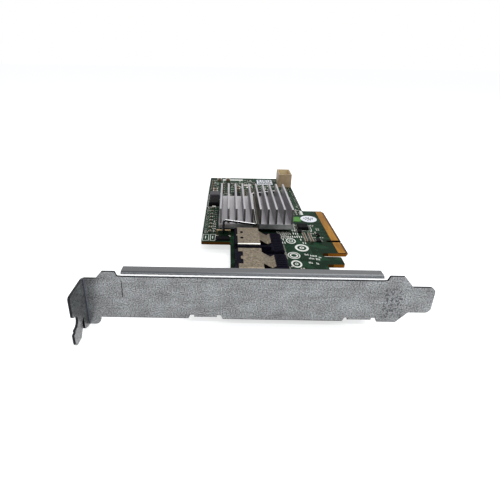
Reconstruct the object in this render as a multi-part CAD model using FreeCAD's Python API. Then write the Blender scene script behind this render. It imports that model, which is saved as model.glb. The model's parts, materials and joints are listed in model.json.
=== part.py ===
import FreeCAD, Part
import math
import os

from FreeCAD import Vector

# Storage controller card: a sheet steel slot bracket, a circuit board with a card edge,
# a clipped heatsink, two internal cable ports side by side and an upright pin header.
# Lengths are millimetres. X runs along the bracket from the outer face of its fold,
# Y runs back from the bracket's outer face, and Z runs up from the bracket's lower edge.
# The finished solids are moved so that the origin is the centre of the bracket's outer face.

# Slot bracket
STEEL_T = 0.86
BRACKET_LENGTH = 120.02
BRACKET_WIDTH = 18.42
BEND_R_IN = 0.5
BEND_R_OUT = BEND_R_IN + STEEL_T
NECK_TOP = 15.7
NECK_BOTTOM = -3.1
NECK_END = 5.0
SHOULDER_START = 7.3
FLANGE_START = 13.7
FLANGE_END = 102.0
FLANGE_DEPTH = 4.0
FLANGE_RELIEF_W = 1.3
RELIEF_SLOPE = 0.7
RELIEF_PAST_BEND = 0.4
FLANGE_RELIEF_Z = BRACKET_WIDTH - BEND_R_OUT - RELIEF_PAST_BEND
TONGUE_WIDTH = 10.19
TONGUE_LENGTH = 7.6
TONGUE_FLOOR = 4.1
TONGUE_R = 2.0
BODY_END = 108.8
FACE_CORNER_R = 0.4

# Screw tab, which is folded away from the board at the bracket's end
TAB_REACH = 11.43
TAB_CORNER = 1.1
SCREW_NOTCH_W = 4.42
SCREW_NOTCH_DEPTH = 3.2
SCREW_NOTCH_Z = 5.4
TAB_SLIT_Y = 4.3
TAB_SLIT_W = 0.6
FINGER_OFFSET = 0.6
FINGER_BEND_TOP = 2.8
FINGER_BEND_BOTTOM = 1.2
FINGER_TAPER_Y = 6.7
FINGER_TAPER_Z = -1.2
FINGER_TIP_Z = -3.7
FINGER_TIP_R = 1.9

# Board seats, the two lugs folded back from the bracket's lower edge
SEAT_WIDTH = 8.0
SEAT_REACH = 11.4
SEAT_STARTS = (38.1, 92.1)
SEAT_RELIEF_W = 1.3
SEAT_RELIEF_Z = BEND_R_OUT + RELIEF_PAST_BEND / 2
SEAT_CORNER_R = 1.5
SCREW_Y = 6.35

# Board screws
SCREW_SHANK_R = 1.45
SCREW_HEAD_R = 2.8
SCREW_HEAD_H = 1.8
SCREW_HEAD_CROWN = 0.6
SCREW_LENGTH = 3.4
SCREW_DRIVE_W = 0.8
SCREW_DRIVE_L = 3.0
SCREW_DRIVE_DEPTH = 1.0

# Circuit board
BOARD_T = 1.57
BOARD_FRONT = 1.8
BOARD_BACK = 161.8
BOARD_LEFT = 36.7
BOARD_RIGHT = 93.2
WAIST_LEFT = 50.9
EAR_BACK = 11.6
EAR_REACH = 8.4
WAIST_BACK = 55.8
BOARD_SCREW_HOLE_R = 1.6
BOARD_CORNER_R = 0.8
BOARD_TOP = STEEL_T + BOARD_T

# Card edge
EDGE_REACH = 12.3
EDGE_X = BOARD_RIGHT + EDGE_REACH
EDGE_START = 45.7
KEY_Y = 58.3
KEY_WIDTH = 1.9
KEY_DEPTH = 7.6
EDGE_END = 97.9
EDGE_CORNER = 1.3
EDGE_BEVEL = 0.45
EDGE_BEVEL_LENGTH = 1.3
HOOK_START = 35.5
HOOK_END = 42.5
HOOK_REACH = 7.8
CONTACT_PITCH = 1.0
CONTACT_WIDTH = 0.7
CONTACT_T = 0.05
CONTACT_LENGTH = 3.5
CONTACT_FROM_KEY = 1.5
CONTACT_COUNT_BEFORE_KEY = 11
CONTACT_COUNT_AFTER_KEY = 38

# Controller chip and its heatsink
SINK_X = 63.85
SINK_Y = 86.35
SINK_LENGTH = 41.3
SINK_BASE_Z = 2.6
SINK_BASE_T = 2.9
FIN_COUNT = 10
FIN_PITCH = 4.0
FIN_T = 0.95
FIN_DRAFT = 0.1
FIN_HEIGHT = 8.0
SINK_SIDE_MARGIN = 0.4
CHIP_SIZE = 27.0
CHIP_SUBSTRATE_T = 1.1
CHIP_CAP_SIZE = 24.0
THERMAL_PAD_T = 0.3
THERMAL_PAD_SIZE = 23.0

# Wire clip and the staples that hold its hooks
WIRE_R = 0.6
WIRE_BEND_R = 1.3
CLIP_OVERHANG = 2.4
CLIP_ARM_RISE = 2.2
CLIP_HOOK_X = 16.4
CLIP_HOOK_REACH = 2.6
STAPLE_R = 0.45
STAPLE_WIDTH = 7.0
STAPLE_HEIGHT = 3.6
STAPLE_Y = 3.2
STAPLE_TAIL = 0.9
WIRE_CLEARANCE = 0.05

# Cable ports
PORT_CENTRES = {"near": 25.75, "far": 46.65}
PORT_FACE_X = 54.0
SHELL_DEPTH = 9.8
SHELL_WIDTH = 17.0
SHELL_HEIGHT = 8.3
SHELL_T = 0.3
SHELL_EDGE_R = 0.55
SHELL_FOOT = 2.0
ARM_WIDTH = 9.2
ARM_DROP = 2.1
ARM_RUN = 3.6
ARM_LIP_RUN = 1.5
ARM_LIP_RISE = 0.8
LATCH_HOLE_R = 0.65
LATCH_HOLE_X = 1.9
LATCH_HOLE_SPACING = 5.7
LATCH_NIB_W = 1.4
LATCH_NIB_REACH = 0.5
LATCH_CUT_WIDTH = 10.2
LATCH_CUT_DEPTH = 1.9
LATCH_CUT_TONGUE_W = 2.4
LATCH_CUT_TONGUE_L = 0.9
HOUSING_FRAME_REACH = 1.2
HOUSING_WALL = 0.9
HOUSING_MOUTH_DEPTH = 6.7
HOUSING_REAR_WIDTH = 18.0
HOUSING_REAR_HEIGHT = 5.3
HOUSING_REAR_X = 74.6
HOUSING_EDGE = 0.5
HOUSING_CLEARANCE = 0.05
SLOT_WIDTH = 14.9
SLOT_HEIGHT = 1.5
SLOT_DEPTH = 4.2
SLOT_Z = 3.6
PORT_CONTACT_COUNT = 18
PORT_CONTACT_PITCH = 0.8
PORT_CONTACT_W = 0.35
PORT_CONTACT_T = 0.15
PORT_TAIL_LENGTH = 1.9

# Upright cable header
HEADER_X = 88.6
HEADER_Y = 148.4
HEADER_WIDTH = 8.9
HEADER_LENGTH = 13.8
HEADER_HEIGHT = 9.2
HEADER_WALL = 0.9
HEADER_FLOOR = 2.0
HEADER_WINDOW_W = 4.0
HEADER_WINDOW_H = 2.8
HEADER_WINDOW_DROP = 4.0
HEADER_PITCH = 2.54
HEADER_ROW_COUNT = 2
HEADER_COLUMN_COUNT = 4
PIN_SIZE = 0.64
PIN_TOP = 6.6
PIN_TAIL = 0.9
PIN_HOLE_R = 0.5

# Chip packages, as body length along X, width along Y and height
FLASH_BODY = (12.0, 18.4, 1.0)
FLASH_X = 75.6
FLASH_Y = 123.4
FLASH_LEAD_COUNT = 24
FLASH_LEAD_PITCH = 0.5
MEMORY_BODY = (5.3, 5.3, 1.7)
MEMORY_CHIPS = ((55.0, 122.0), (89.0, 73.6))
LOGIC_BODY = (2.2, 3.0, 1.0)
LOGIC_CHIPS = ((94.1, 58.3), (86.6, 68.5))
LOGIC_LEAD_COUNT = 4
LOGIC_LEAD_PITCH = 0.65
MEMORY_LEAD_COUNT = 4
WIDE_LEAD_PITCH = 1.27
LEAD_SPAN = 1.0
LEAD_T = 0.18
CHIP_STANDOFF = 0.1
CRYSTAL_BODY = (5.0, 3.2, 1.1)
CRYSTAL_X = 63.0
CRYSTAL_Y = 142.0
INDUCTOR_BODY = (6.0, 7.0, 3.2)
INDUCTOR_X = 41.2
INDUCTOR_Y = 119.5
CHOKE_BODY = (6.0, 9.0, 2.6)
CHOKE_X = 41.2
CHOKE_Y = 107.5
POWER_TRANSISTOR_BODY = (7.0, 3.6, 1.2)
POWER_TRANSISTOR_X = 47.1
POWER_TRANSISTOR_Y = 58.7
TRANSISTOR_BODY = (1.3, 2.9, 1.0)
TRANSISTORS = ((95.2, 64.6), (88.4, 108.0), (88.4, 116.0), (88.4, 124.0))

# Small two-ended parts, as body length, width and height
RESISTOR_BODY = (1.0, 0.5, 0.35)
TURNED_RESISTOR_BODY = (0.5, 1.0, 0.35)
CAPACITOR_BODY = (1.6, 0.8, 0.8)
BULK_CAPACITOR_BODY = (3.2, 2.5, 1.8)
# Rows of them: first centre, step between centres and count
RESISTOR_ROWS = (
    ((38.2, 68.0), (0.0, 2.3), 14),
    ((42.8, 66.9), (0.0, 2.9), 11),
    ((92.0, 101.0), (0.0, 2.6), 12),
    ((86.0, 101.6), (0.0, 3.4), 9),
    ((48.0, 112.5), (2.3, 0.0), 8),
    ((48.0, 150.5), (2.3, 0.0), 9),
    ((62.0, 6.0), (2.0, 0.0), 8),
)
TURNED_RESISTOR_ROWS = (
    ((75.0, 67.6), (1.0, 0.0), 7),
    ((75.4, 65.4), (1.0, 0.0), 7),
    ((75.8, 63.2), (1.0, 0.0), 5),
    ((76.2, 61.0), (1.0, 0.0), 5),
)
CAPACITOR_ROWS = (
    ((40.4, 67.0), (0.0, 4.6), 8),
    ((46.6, 128.6), (0.0, 4.3), 5),
    ((49.6, 116.6), (0.0, 4.3), 8),
    ((61.0, 116.4), (0.0, 4.1), 5),
    ((65.6, 116.4), (0.0, 4.1), 6),
    ((52.2, 145.8), (3.1, 0.0), 6),
    ((85.8, 134.0), (3.0, 0.0), 2),
    ((39.0, 134.0), (0.0, 3.8), 6),
    ((88.1, 57.2), (0.0, 1.25), 8),
    ((90.9, 57.2), (0.0, 1.25), 8),
)
BULK_CAPACITOR_ROWS = (
    ((41.2, 127.6), (0.0, 4.4), 2),
    ((56.0, 132.6), (0.0, 4.4), 2),
    ((43.4, 154.2), (6.0, 0.0), 2),
)
UNDERSIDE_CAPACITOR_ROWS = (
    ((54.0, 78.0), (4.0, 0.0), 6),
    ((54.0, 94.6), (4.0, 0.0), 6),
    ((95.4, 61.0), (0.0, 2.2), 15),
)

# Labels
LABEL_T = 0.1
TRACKING_LABEL_SIZE = (10.9, 11.0)
TRACKING_LABEL_X = 75.7
TRACKING_LABEL_Y = 152.6
ROUND_LABEL_R = 4.5
ROUND_LABEL_X = 94.6
ROUND_LABEL_Y = 85.9
GREEN_STICKER_SIZE = (5.4, 6.4)
GREEN_STICKER_FROM_SINK = 4.5
GREEN_STICKER_Y = SINK_Y - 0.9
LABEL_CORNER_R = 0.5

SINK_WIDTH = (FIN_COUNT - 1) * FIN_PITCH + FIN_T + 2 * SINK_SIDE_MARGIN
SINK_FRONT = SINK_Y - SINK_LENGTH / 2
SINK_RIGHT = SINK_X + SINK_WIDTH / 2
SINK_FLOOR_Z = BOARD_TOP + SINK_BASE_Z + SINK_BASE_T
ORIGIN = Vector(BRACKET_LENGTH / 2, 0, BRACKET_WIDTH / 2)

# A swept wire's corners meet in a mitre
MITRED = 1

# The plane that each kind of outline is drawn in, by the axis that it is thickened along
PLANES = {
    "X": lambda level, a, b: Vector(level, a, b),
    "Y": lambda level, a, b: Vector(a, level, b),
    "Z": lambda level, a, b: Vector(a, b, level),
}


def corner_arc(before, corner, after, radius):
    """Start, middle and end of the arc that rounds a corner."""
    to_before = (before - corner).normalize()
    to_after = (after - corner).normalize()
    half_angle = to_before.getAngle(to_after) / 2
    reach = radius / math.tan(half_angle)
    bisector = (to_before + to_after).normalize()
    middle = corner + bisector * (radius / math.sin(half_angle) - radius)
    return corner + to_before * reach, middle, corner + to_after * reach


def rounded_edges(points, radii, closed):
    """Lines through the points, with a tangent arc at each corner that has a radius."""
    count = len(points)
    corners = []
    for index, point in enumerate(points):
        is_end = not closed and index in (0, count - 1)
        if is_end or radii[index] == 0:
            corners.append((point, None, point))
        else:
            before = points[index - 1]
            after = points[(index + 1) % count]
            corners.append(corner_arc(before, point, after, radii[index]))
    edges = []
    for index, (start, middle, end) in enumerate(corners):
        if middle is not None:
            edges.append(Part.Arc(start, middle, end).toShape())
        if index == count - 1 and not closed:
            break
        following = corners[(index + 1) % count][0]
        if (following - end).Length > 1e-6:
            edges.append(Part.LineSegment(end, following).toShape())
    return edges


def prism(axis, level, thickness, corners):
    """A flat outline of (a, b, radius) corners, thickened along an axis from a level."""
    place = PLANES[axis]
    points = [place(level, a, b) for a, b, _ in corners]
    radii = [radius for _, _, radius in corners]
    face = Part.Face(Part.Wire(rounded_edges(points, radii, closed=True)))
    return face.extrude(place(thickness, 0, 0))


def block(centre_x, centre_y, floor_z, size):
    """A box that stands on a level, centred over a point."""
    length, width, height = size
    corner = Vector(centre_x - length / 2, centre_y - width / 2, floor_z)
    return Part.makeBox(length, width, height, corner)


def rod(radius, height, x, y, z):
    """An upright round bar."""
    return Part.makeCylinder(radius, height, Vector(x, y, z))


def wire_form(points, bend_radius, wire_radius):
    """A round wire bent through the points, or mitred there with no bend radius."""
    edges = rounded_edges(points, [bend_radius] * len(points), closed=False)
    path = Part.Wire(edges)
    section = Part.Circle(points[0], points[1] - points[0], wire_radius).toShape()
    return path.makePipeShell([Part.Wire(section)], True, False, MITRED)


def fuse(solids):
    """One solid from several that touch."""
    return solids[0].multiFuse(solids[1:]).removeSplitter()


def row_centres(rows):
    """Centres of the parts that stand in straight rows."""
    for (first_x, first_y), (step_x, step_y), count in rows:
        for index in range(count):
            yield first_x + index * step_x, first_y + index * step_y


def seat_centres():
    """X of the middle of each board seat."""
    return [start + SEAT_WIDTH / 2 for start in SEAT_STARTS]


def contact_centres():
    """Y of each contact along the card edge."""
    before = [KEY_Y - CONTACT_FROM_KEY - i * CONTACT_PITCH for i in range(CONTACT_COUNT_BEFORE_KEY)]
    after = [KEY_Y + CONTACT_FROM_KEY + i * CONTACT_PITCH for i in range(CONTACT_COUNT_AFTER_KEY)]
    return before + after


def header_pin_centres():
    """X and Y of each header pin."""
    for row in range(HEADER_ROW_COUNT):
        for column in range(HEADER_COLUMN_COUNT):
            x = HEADER_X + (row - (HEADER_ROW_COUNT - 1) / 2) * HEADER_PITCH
            y = HEADER_Y + (column - (HEADER_COLUMN_COUNT - 1) / 2) * HEADER_PITCH
            yield x, y


def half_turn(shape):
    """The same solid turned half round the heatsink's upright centre line."""
    turned = shape.copy()
    turned.rotate(Vector(SINK_X, SINK_Y, 0), Vector(0, 0, 1), 180)
    return turned


def bracket_face():
    """The flat body of the bracket, with its neck, shoulders, reliefs and tongue."""
    shoulder_end = FLANGE_START - FLANGE_RELIEF_W
    body_restart = FLANGE_END + FLANGE_RELIEF_W
    flange_root = BRACKET_WIDTH - BEND_R_OUT
    tongue_top = TONGUE_FLOOR + TONGUE_WIDTH
    tongue_root = BRACKET_LENGTH - TONGUE_LENGTH
    top = [
        (BEND_R_OUT, NECK_TOP, 0),
        (NECK_END, NECK_TOP, FACE_CORNER_R),
        (SHOULDER_START, BRACKET_WIDTH, FACE_CORNER_R),
        (shoulder_end - RELIEF_SLOPE, BRACKET_WIDTH, FACE_CORNER_R),
        (shoulder_end, FLANGE_RELIEF_Z, FACE_CORNER_R),
        (FLANGE_START, FLANGE_RELIEF_Z, 0),
        (FLANGE_START, flange_root, 0),
        (FLANGE_END, flange_root, 0),
        (FLANGE_END, FLANGE_RELIEF_Z, 0),
        (body_restart, FLANGE_RELIEF_Z, FACE_CORNER_R),
        (body_restart + RELIEF_SLOPE, BRACKET_WIDTH, FACE_CORNER_R),
        (BODY_END, BRACKET_WIDTH, FACE_CORNER_R),
        (tongue_root, tongue_top, FACE_CORNER_R),
        (BRACKET_LENGTH, tongue_top, TONGUE_R),
        (BRACKET_LENGTH, TONGUE_FLOOR, TONGUE_R),
        (tongue_root, TONGUE_FLOOR, FACE_CORNER_R),
        (BODY_END, 0, FACE_CORNER_R),
    ]
    bottom = []
    for start in reversed(SEAT_STARTS):
        end = start + SEAT_WIDTH
        bottom += [
            (end + SEAT_RELIEF_W + RELIEF_SLOPE, 0, FACE_CORNER_R),
            (end + SEAT_RELIEF_W, SEAT_RELIEF_Z, FACE_CORNER_R),
            (end, SEAT_RELIEF_Z, 0),
            (end, BEND_R_OUT, 0),
            (start, BEND_R_OUT, 0),
            (start, SEAT_RELIEF_Z, 0),
            (start - SEAT_RELIEF_W, SEAT_RELIEF_Z, FACE_CORNER_R),
            (start - SEAT_RELIEF_W - RELIEF_SLOPE, 0, FACE_CORNER_R),
        ]
    neck_foot = [
        (NECK_END, 0, FACE_CORNER_R),
        (NECK_END, NECK_BOTTOM, TONGUE_R),
        (BEND_R_OUT, NECK_BOTTOM, 0),
    ]
    return prism("Y", 0, STEEL_T, top + bottom + neck_foot)


def folded_strip(start, end, root_z, turn, reach):
    """A strip folded back from the face: a bend and a flat, on the upper or lower edge."""
    edge_z = root_z + turn * BEND_R_OUT
    centre = Vector(start, BEND_R_OUT, root_z)
    diagonal = Vector(0, -1, turn).normalize()
    outer_middle = centre + diagonal * BEND_R_OUT
    outer = Part.Arc(Vector(start, 0, root_z), outer_middle, Vector(start, BEND_R_OUT, edge_z))
    inner_end = Vector(start, BEND_R_OUT, root_z + turn * BEND_R_IN)
    inner = Part.Arc(inner_end, centre + diagonal * BEND_R_IN, Vector(start, STEEL_T, root_z))
    corners = [
        Vector(start, BEND_R_OUT, edge_z),
        Vector(start, reach, edge_z),
        Vector(start, reach, root_z + turn * BEND_R_IN),
        inner_end,
    ]
    lines = [Part.LineSegment(a, b).toShape() for a, b in zip(corners, corners[1:])]
    closing = Part.LineSegment(Vector(start, STEEL_T, root_z), Vector(start, 0, root_z)).toShape()
    wire = Part.Wire([outer.toShape()] + lines + [inner.toShape(), closing])
    return Part.Face(wire).extrude(Vector(end - start, 0, 0))


def screw_tab_bend():
    """The quarter bend between the bracket's neck and its screw tab."""
    height = NECK_TOP - NECK_BOTTOM
    centre = Vector(BEND_R_OUT, -BEND_R_IN, NECK_BOTTOM)
    outer = Part.makeCylinder(BEND_R_OUT, height, centre, Vector(0, 0, 1), 90)
    inner = Part.makeCylinder(BEND_R_IN, height, centre, Vector(0, 0, 1), 90)
    ring = outer.cut(inner)
    ring.rotate(centre, Vector(0, 0, 1), 90)
    return ring


def screw_tab_plate():
    """The flat of the screw tab, with its open notch and the slit beside the finger."""
    notch_end = SCREW_NOTCH_DEPTH - TAB_REACH
    notch_half = SCREW_NOTCH_W / 2
    slit_half = TAB_SLIT_W / 2
    return prism("X", 0, STEEL_T, [
        (-BEND_R_IN, NECK_TOP, 0),
        (-TAB_REACH, NECK_TOP, TAB_CORNER),
        (-TAB_REACH, SCREW_NOTCH_Z + notch_half, TAB_CORNER),
        (notch_end, SCREW_NOTCH_Z + notch_half, notch_half),
        (notch_end, SCREW_NOTCH_Z - notch_half, notch_half),
        (-TAB_REACH, SCREW_NOTCH_Z - notch_half, 0),
        (-TAB_REACH, FINGER_BEND_TOP, 0),
        (-TAB_SLIT_Y + slit_half, FINGER_BEND_TOP, 0),
        (-TAB_SLIT_Y + slit_half, NECK_BOTTOM + TAB_CORNER, FACE_CORNER_R),
        (-BEND_R_IN - TAB_CORNER, NECK_BOTTOM, 0),
        (-BEND_R_IN, NECK_BOTTOM, 0),
    ])


def screw_tab_finger():
    """The finger below the notch, joggled outwards and tapered to a blunt tip."""
    bend_r = STEEL_T + BEND_R_IN
    bent_strip = prism("Y", -TAB_REACH, TAB_REACH, [
        (0, FINGER_BEND_TOP, 0),
        (0, FINGER_BEND_TOP - BEND_R_IN, BEND_R_IN),
        (-FINGER_OFFSET, FINGER_BEND_BOTTOM, bend_r),
        (-FINGER_OFFSET, FINGER_TIP_Z, 0),
        (STEEL_T - FINGER_OFFSET, FINGER_TIP_Z, 0),
        (STEEL_T - FINGER_OFFSET, FINGER_BEND_BOTTOM, BEND_R_IN),
        (STEEL_T, FINGER_BEND_TOP - BEND_R_IN, bend_r),
        (STEEL_T, FINGER_BEND_TOP, 0),
    ])
    finger_side = -TAB_SLIT_Y - TAB_SLIT_W / 2
    blade = prism("X", -FINGER_OFFSET, FINGER_OFFSET + STEEL_T, [
        (-TAB_REACH, FINGER_BEND_TOP, 0),
        (finger_side, FINGER_BEND_TOP, 0),
        (finger_side, FINGER_TAPER_Z, FACE_CORNER_R),
        (-FINGER_TAPER_Y, FINGER_TIP_Z, FACE_CORNER_R),
        (-TAB_REACH, FINGER_TIP_Z, FINGER_TIP_R),
    ])
    return bent_strip.common(blade)


def bracket_seat(start, centre_x):
    """One lug that carries the board, with its screw hole."""
    lug = folded_strip(start, start + SEAT_WIDTH, BEND_R_OUT, -1, SEAT_REACH)
    ends = [e for e in lug.Edges if e.BoundBox.YMin > SEAT_REACH - 0.01 and e.BoundBox.ZLength > STEEL_T / 2]
    lug = lug.makeFillet(SEAT_CORNER_R, ends)
    return lug.cut(rod(SCREW_SHANK_R, STEEL_T, centre_x, SCREW_Y, 0))


def bracket():
    """The slot bracket, folded from one sheet."""
    flange = folded_strip(FLANGE_START, FLANGE_END, BRACKET_WIDTH - BEND_R_OUT, 1, FLANGE_DEPTH)
    seats = [bracket_seat(start, x) for start, x in zip(SEAT_STARTS, seat_centres())]
    return fuse([bracket_face(), flange, screw_tab_bend(), screw_tab_plate(), screw_tab_finger()] + seats)


def bracket_screws():
    """Crowned screws that go down through the board's ears into the bracket's lugs."""
    screws = []
    for x in seat_centres():
        shank = rod(SCREW_SHANK_R, SCREW_LENGTH, x, SCREW_Y, BOARD_TOP - SCREW_LENGTH)
        head = rod(SCREW_HEAD_R, SCREW_HEAD_H, x, SCREW_Y, BOARD_TOP)
        head = head.makeChamfer(SCREW_HEAD_CROWN, [head.Edges[0]])
        drive_z = BOARD_TOP + SCREW_HEAD_H - SCREW_DRIVE_DEPTH
        slot = block(x, SCREW_Y, drive_z, (SCREW_DRIVE_L, SCREW_DRIVE_W, SCREW_HEAD_H))
        cross = block(x, SCREW_Y, drive_z, (SCREW_DRIVE_W, SCREW_DRIVE_L, SCREW_HEAD_H))
        screws.append(fuse([shank, head]).cut(slot).cut(cross))
    return screws


def board_outline():
    """The board's corners, with its ears, waist, retaining hook and card edge."""
    ear_right = BOARD_RIGHT + EAR_REACH
    hook_tip = BOARD_RIGHT + HOOK_REACH
    key_root = EDGE_X - KEY_DEPTH
    return [
        (BOARD_LEFT, BOARD_FRONT, BOARD_CORNER_R),
        (ear_right, BOARD_FRONT, BOARD_CORNER_R),
        (ear_right, EAR_BACK, BOARD_CORNER_R),
        (BOARD_RIGHT, EAR_BACK, BOARD_CORNER_R),
        (BOARD_RIGHT, HOOK_START, BOARD_CORNER_R),
        (hook_tip, HOOK_START, BOARD_CORNER_R),
        (hook_tip, HOOK_END, BOARD_CORNER_R),
        (BOARD_RIGHT, HOOK_END, BOARD_CORNER_R),
        (BOARD_RIGHT, EDGE_START, BOARD_CORNER_R),
        (EDGE_X - EDGE_CORNER, EDGE_START, 0),
        (EDGE_X, EDGE_START + EDGE_CORNER, 0),
        (EDGE_X, KEY_Y - KEY_WIDTH / 2, 0),
        (key_root, KEY_Y - KEY_WIDTH / 2, KEY_WIDTH / 2),
        (key_root, KEY_Y + KEY_WIDTH / 2, KEY_WIDTH / 2),
        (EDGE_X, KEY_Y + KEY_WIDTH / 2, 0),
        (EDGE_X, EDGE_END - EDGE_CORNER, 0),
        (EDGE_X - EDGE_CORNER, EDGE_END, 0),
        (BOARD_RIGHT, EDGE_END, BOARD_CORNER_R),
        (BOARD_RIGHT, BOARD_BACK, BOARD_CORNER_R),
        (BOARD_LEFT, BOARD_BACK, BOARD_CORNER_R),
        (BOARD_LEFT, WAIST_BACK, BOARD_CORNER_R),
        (WAIST_LEFT, WAIST_BACK, BOARD_CORNER_R),
        (WAIST_LEFT, EAR_BACK, BOARD_CORNER_R),
        (BOARD_LEFT, EAR_BACK, BOARD_CORNER_R),
    ]


def edge_bevel(face_z, direction):
    """The wedge that is ground off one side of the card edge."""
    length = EDGE_END - EDGE_START
    return prism("Y", EDGE_START, length, [
        (EDGE_X - EDGE_BEVEL_LENGTH, face_z, 0),
        (EDGE_X, face_z, 0),
        (EDGE_X, face_z - direction * EDGE_BEVEL, 0),
    ])


def circuit_board():
    """The bare board, with its bevelled card edge and drilled holes."""
    board = prism("Z", STEEL_T, BOARD_T, board_outline())
    holes = [rod(BOARD_SCREW_HOLE_R, BOARD_T, x, SCREW_Y, STEEL_T) for x in seat_centres()]
    holes += [rod(PIN_HOLE_R, BOARD_T, x, y, STEEL_T) for x, y in header_pin_centres()]
    holes += [rod(STAPLE_R + WIRE_CLEARANCE, BOARD_T, x, y, STEEL_T) for x, y in staple_leg_centres()]
    bevels = [edge_bevel(BOARD_TOP, 1), edge_bevel(STEEL_T, -1)]
    return board.cut(Part.makeCompound(holes)).cut(bevels[0]).cut(bevels[1])


def edge_contacts(level):
    """The gold contact strips along one side of the card edge."""
    end = EDGE_X - EDGE_BEVEL_LENGTH
    return [
        block(end - CONTACT_LENGTH / 2, y, level, (CONTACT_LENGTH, CONTACT_WIDTH, CONTACT_T))
        for y in contact_centres()
    ]


def controller_chip():
    """The controller's package, a moulded cap on a square substrate."""
    cap_height = SINK_BASE_Z - THERMAL_PAD_T - CHIP_SUBSTRATE_T
    substrate = block(SINK_X, SINK_Y, BOARD_TOP, (CHIP_SIZE, CHIP_SIZE, CHIP_SUBSTRATE_T))
    cap_floor = BOARD_TOP + CHIP_SUBSTRATE_T
    cap = block(SINK_X, SINK_Y, cap_floor, (CHIP_CAP_SIZE, CHIP_CAP_SIZE, cap_height))
    return fuse([substrate, cap])


def thermal_pad():
    """The pad between the controller and the heatsink."""
    floor = BOARD_TOP + SINK_BASE_Z - THERMAL_PAD_T
    return block(SINK_X, SINK_Y, floor, (THERMAL_PAD_SIZE, THERMAL_PAD_SIZE, THERMAL_PAD_T))


def heatsink():
    """An extruded section of drafted fins on a flat base."""
    left = SINK_RIGHT - SINK_WIDTH
    base_z = BOARD_TOP + SINK_BASE_Z
    fin_top = SINK_FLOOR_Z + FIN_HEIGHT
    section = [(left, base_z, 0), (SINK_RIGHT, base_z, 0), (SINK_RIGHT, SINK_FLOOR_Z, 0)]
    for index in reversed(range(FIN_COUNT)):
        fin_left = left + SINK_SIDE_MARGIN + index * FIN_PITCH
        section += [
            (fin_left + FIN_T + FIN_DRAFT, SINK_FLOOR_Z, 0),
            (fin_left + FIN_T, fin_top, 0),
            (fin_left, fin_top, 0),
            (fin_left - FIN_DRAFT, SINK_FLOOR_Z, 0),
        ]
    section.append((left, SINK_FLOOR_Z, 0))
    return prism("Y", SINK_FRONT, SINK_LENGTH, section)


def staple_row_y():
    """Y of the staple in front of the heatsink."""
    return SINK_FRONT - STAPLE_Y


def staple_leg_centres():
    """X and Y where the legs of both staples go through the board."""
    front_x = SINK_X - CLIP_HOOK_X
    for side in (-1, 1):
        x = front_x + side * (STAPLE_WIDTH / 2 - STAPLE_R)
        yield x, staple_row_y()
        yield 2 * SINK_X - x, 2 * SINK_Y - staple_row_y()


def front_staple():
    """A wire staple, standing in the board, that a hook of the clip catches under."""
    x = SINK_X - CLIP_HOOK_X
    half = STAPLE_WIDTH / 2 - STAPLE_R
    y = staple_row_y()
    foot = STEEL_T - STAPLE_TAIL
    top = BOARD_TOP + STAPLE_HEIGHT - STAPLE_R
    return wire_form([
        Vector(x - half, y, foot),
        Vector(x - half, y, top),
        Vector(x + half, y, top),
        Vector(x + half, y, foot),
    ], 0, STAPLE_R)


def clip_anchors():
    """The staples in front of and behind the heatsink."""
    return [front_staple(), half_turn(front_staple())]


def heatsink_clip():
    """The spring wire that presses on the heatsink and hooks under both staples."""
    rod_z = SINK_FLOOR_Z + WIRE_R
    arm_y = SINK_FRONT - CLIP_OVERHANG
    arm_end_z = rod_z + CLIP_ARM_RISE
    hook_x = SINK_X - CLIP_HOOK_X
    hook_z = BOARD_TOP + STAPLE_HEIGHT - 2 * STAPLE_R - WIRE_R - WIRE_CLEARANCE
    hook_y = staple_row_y() - STAPLE_R - WIRE_R - WIRE_BEND_R
    front = [
        Vector(hook_x, hook_y + CLIP_HOOK_REACH + WIRE_BEND_R, hook_z),
        Vector(hook_x, hook_y, hook_z),
        Vector(hook_x, arm_y, arm_end_z),
        Vector(SINK_X, arm_y, rod_z),
    ]
    back = [Vector(2 * SINK_X - p.x, 2 * SINK_Y - p.y, p.z) for p in reversed(front)]
    return wire_form(front + back, WIRE_BEND_R, WIRE_R)


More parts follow.
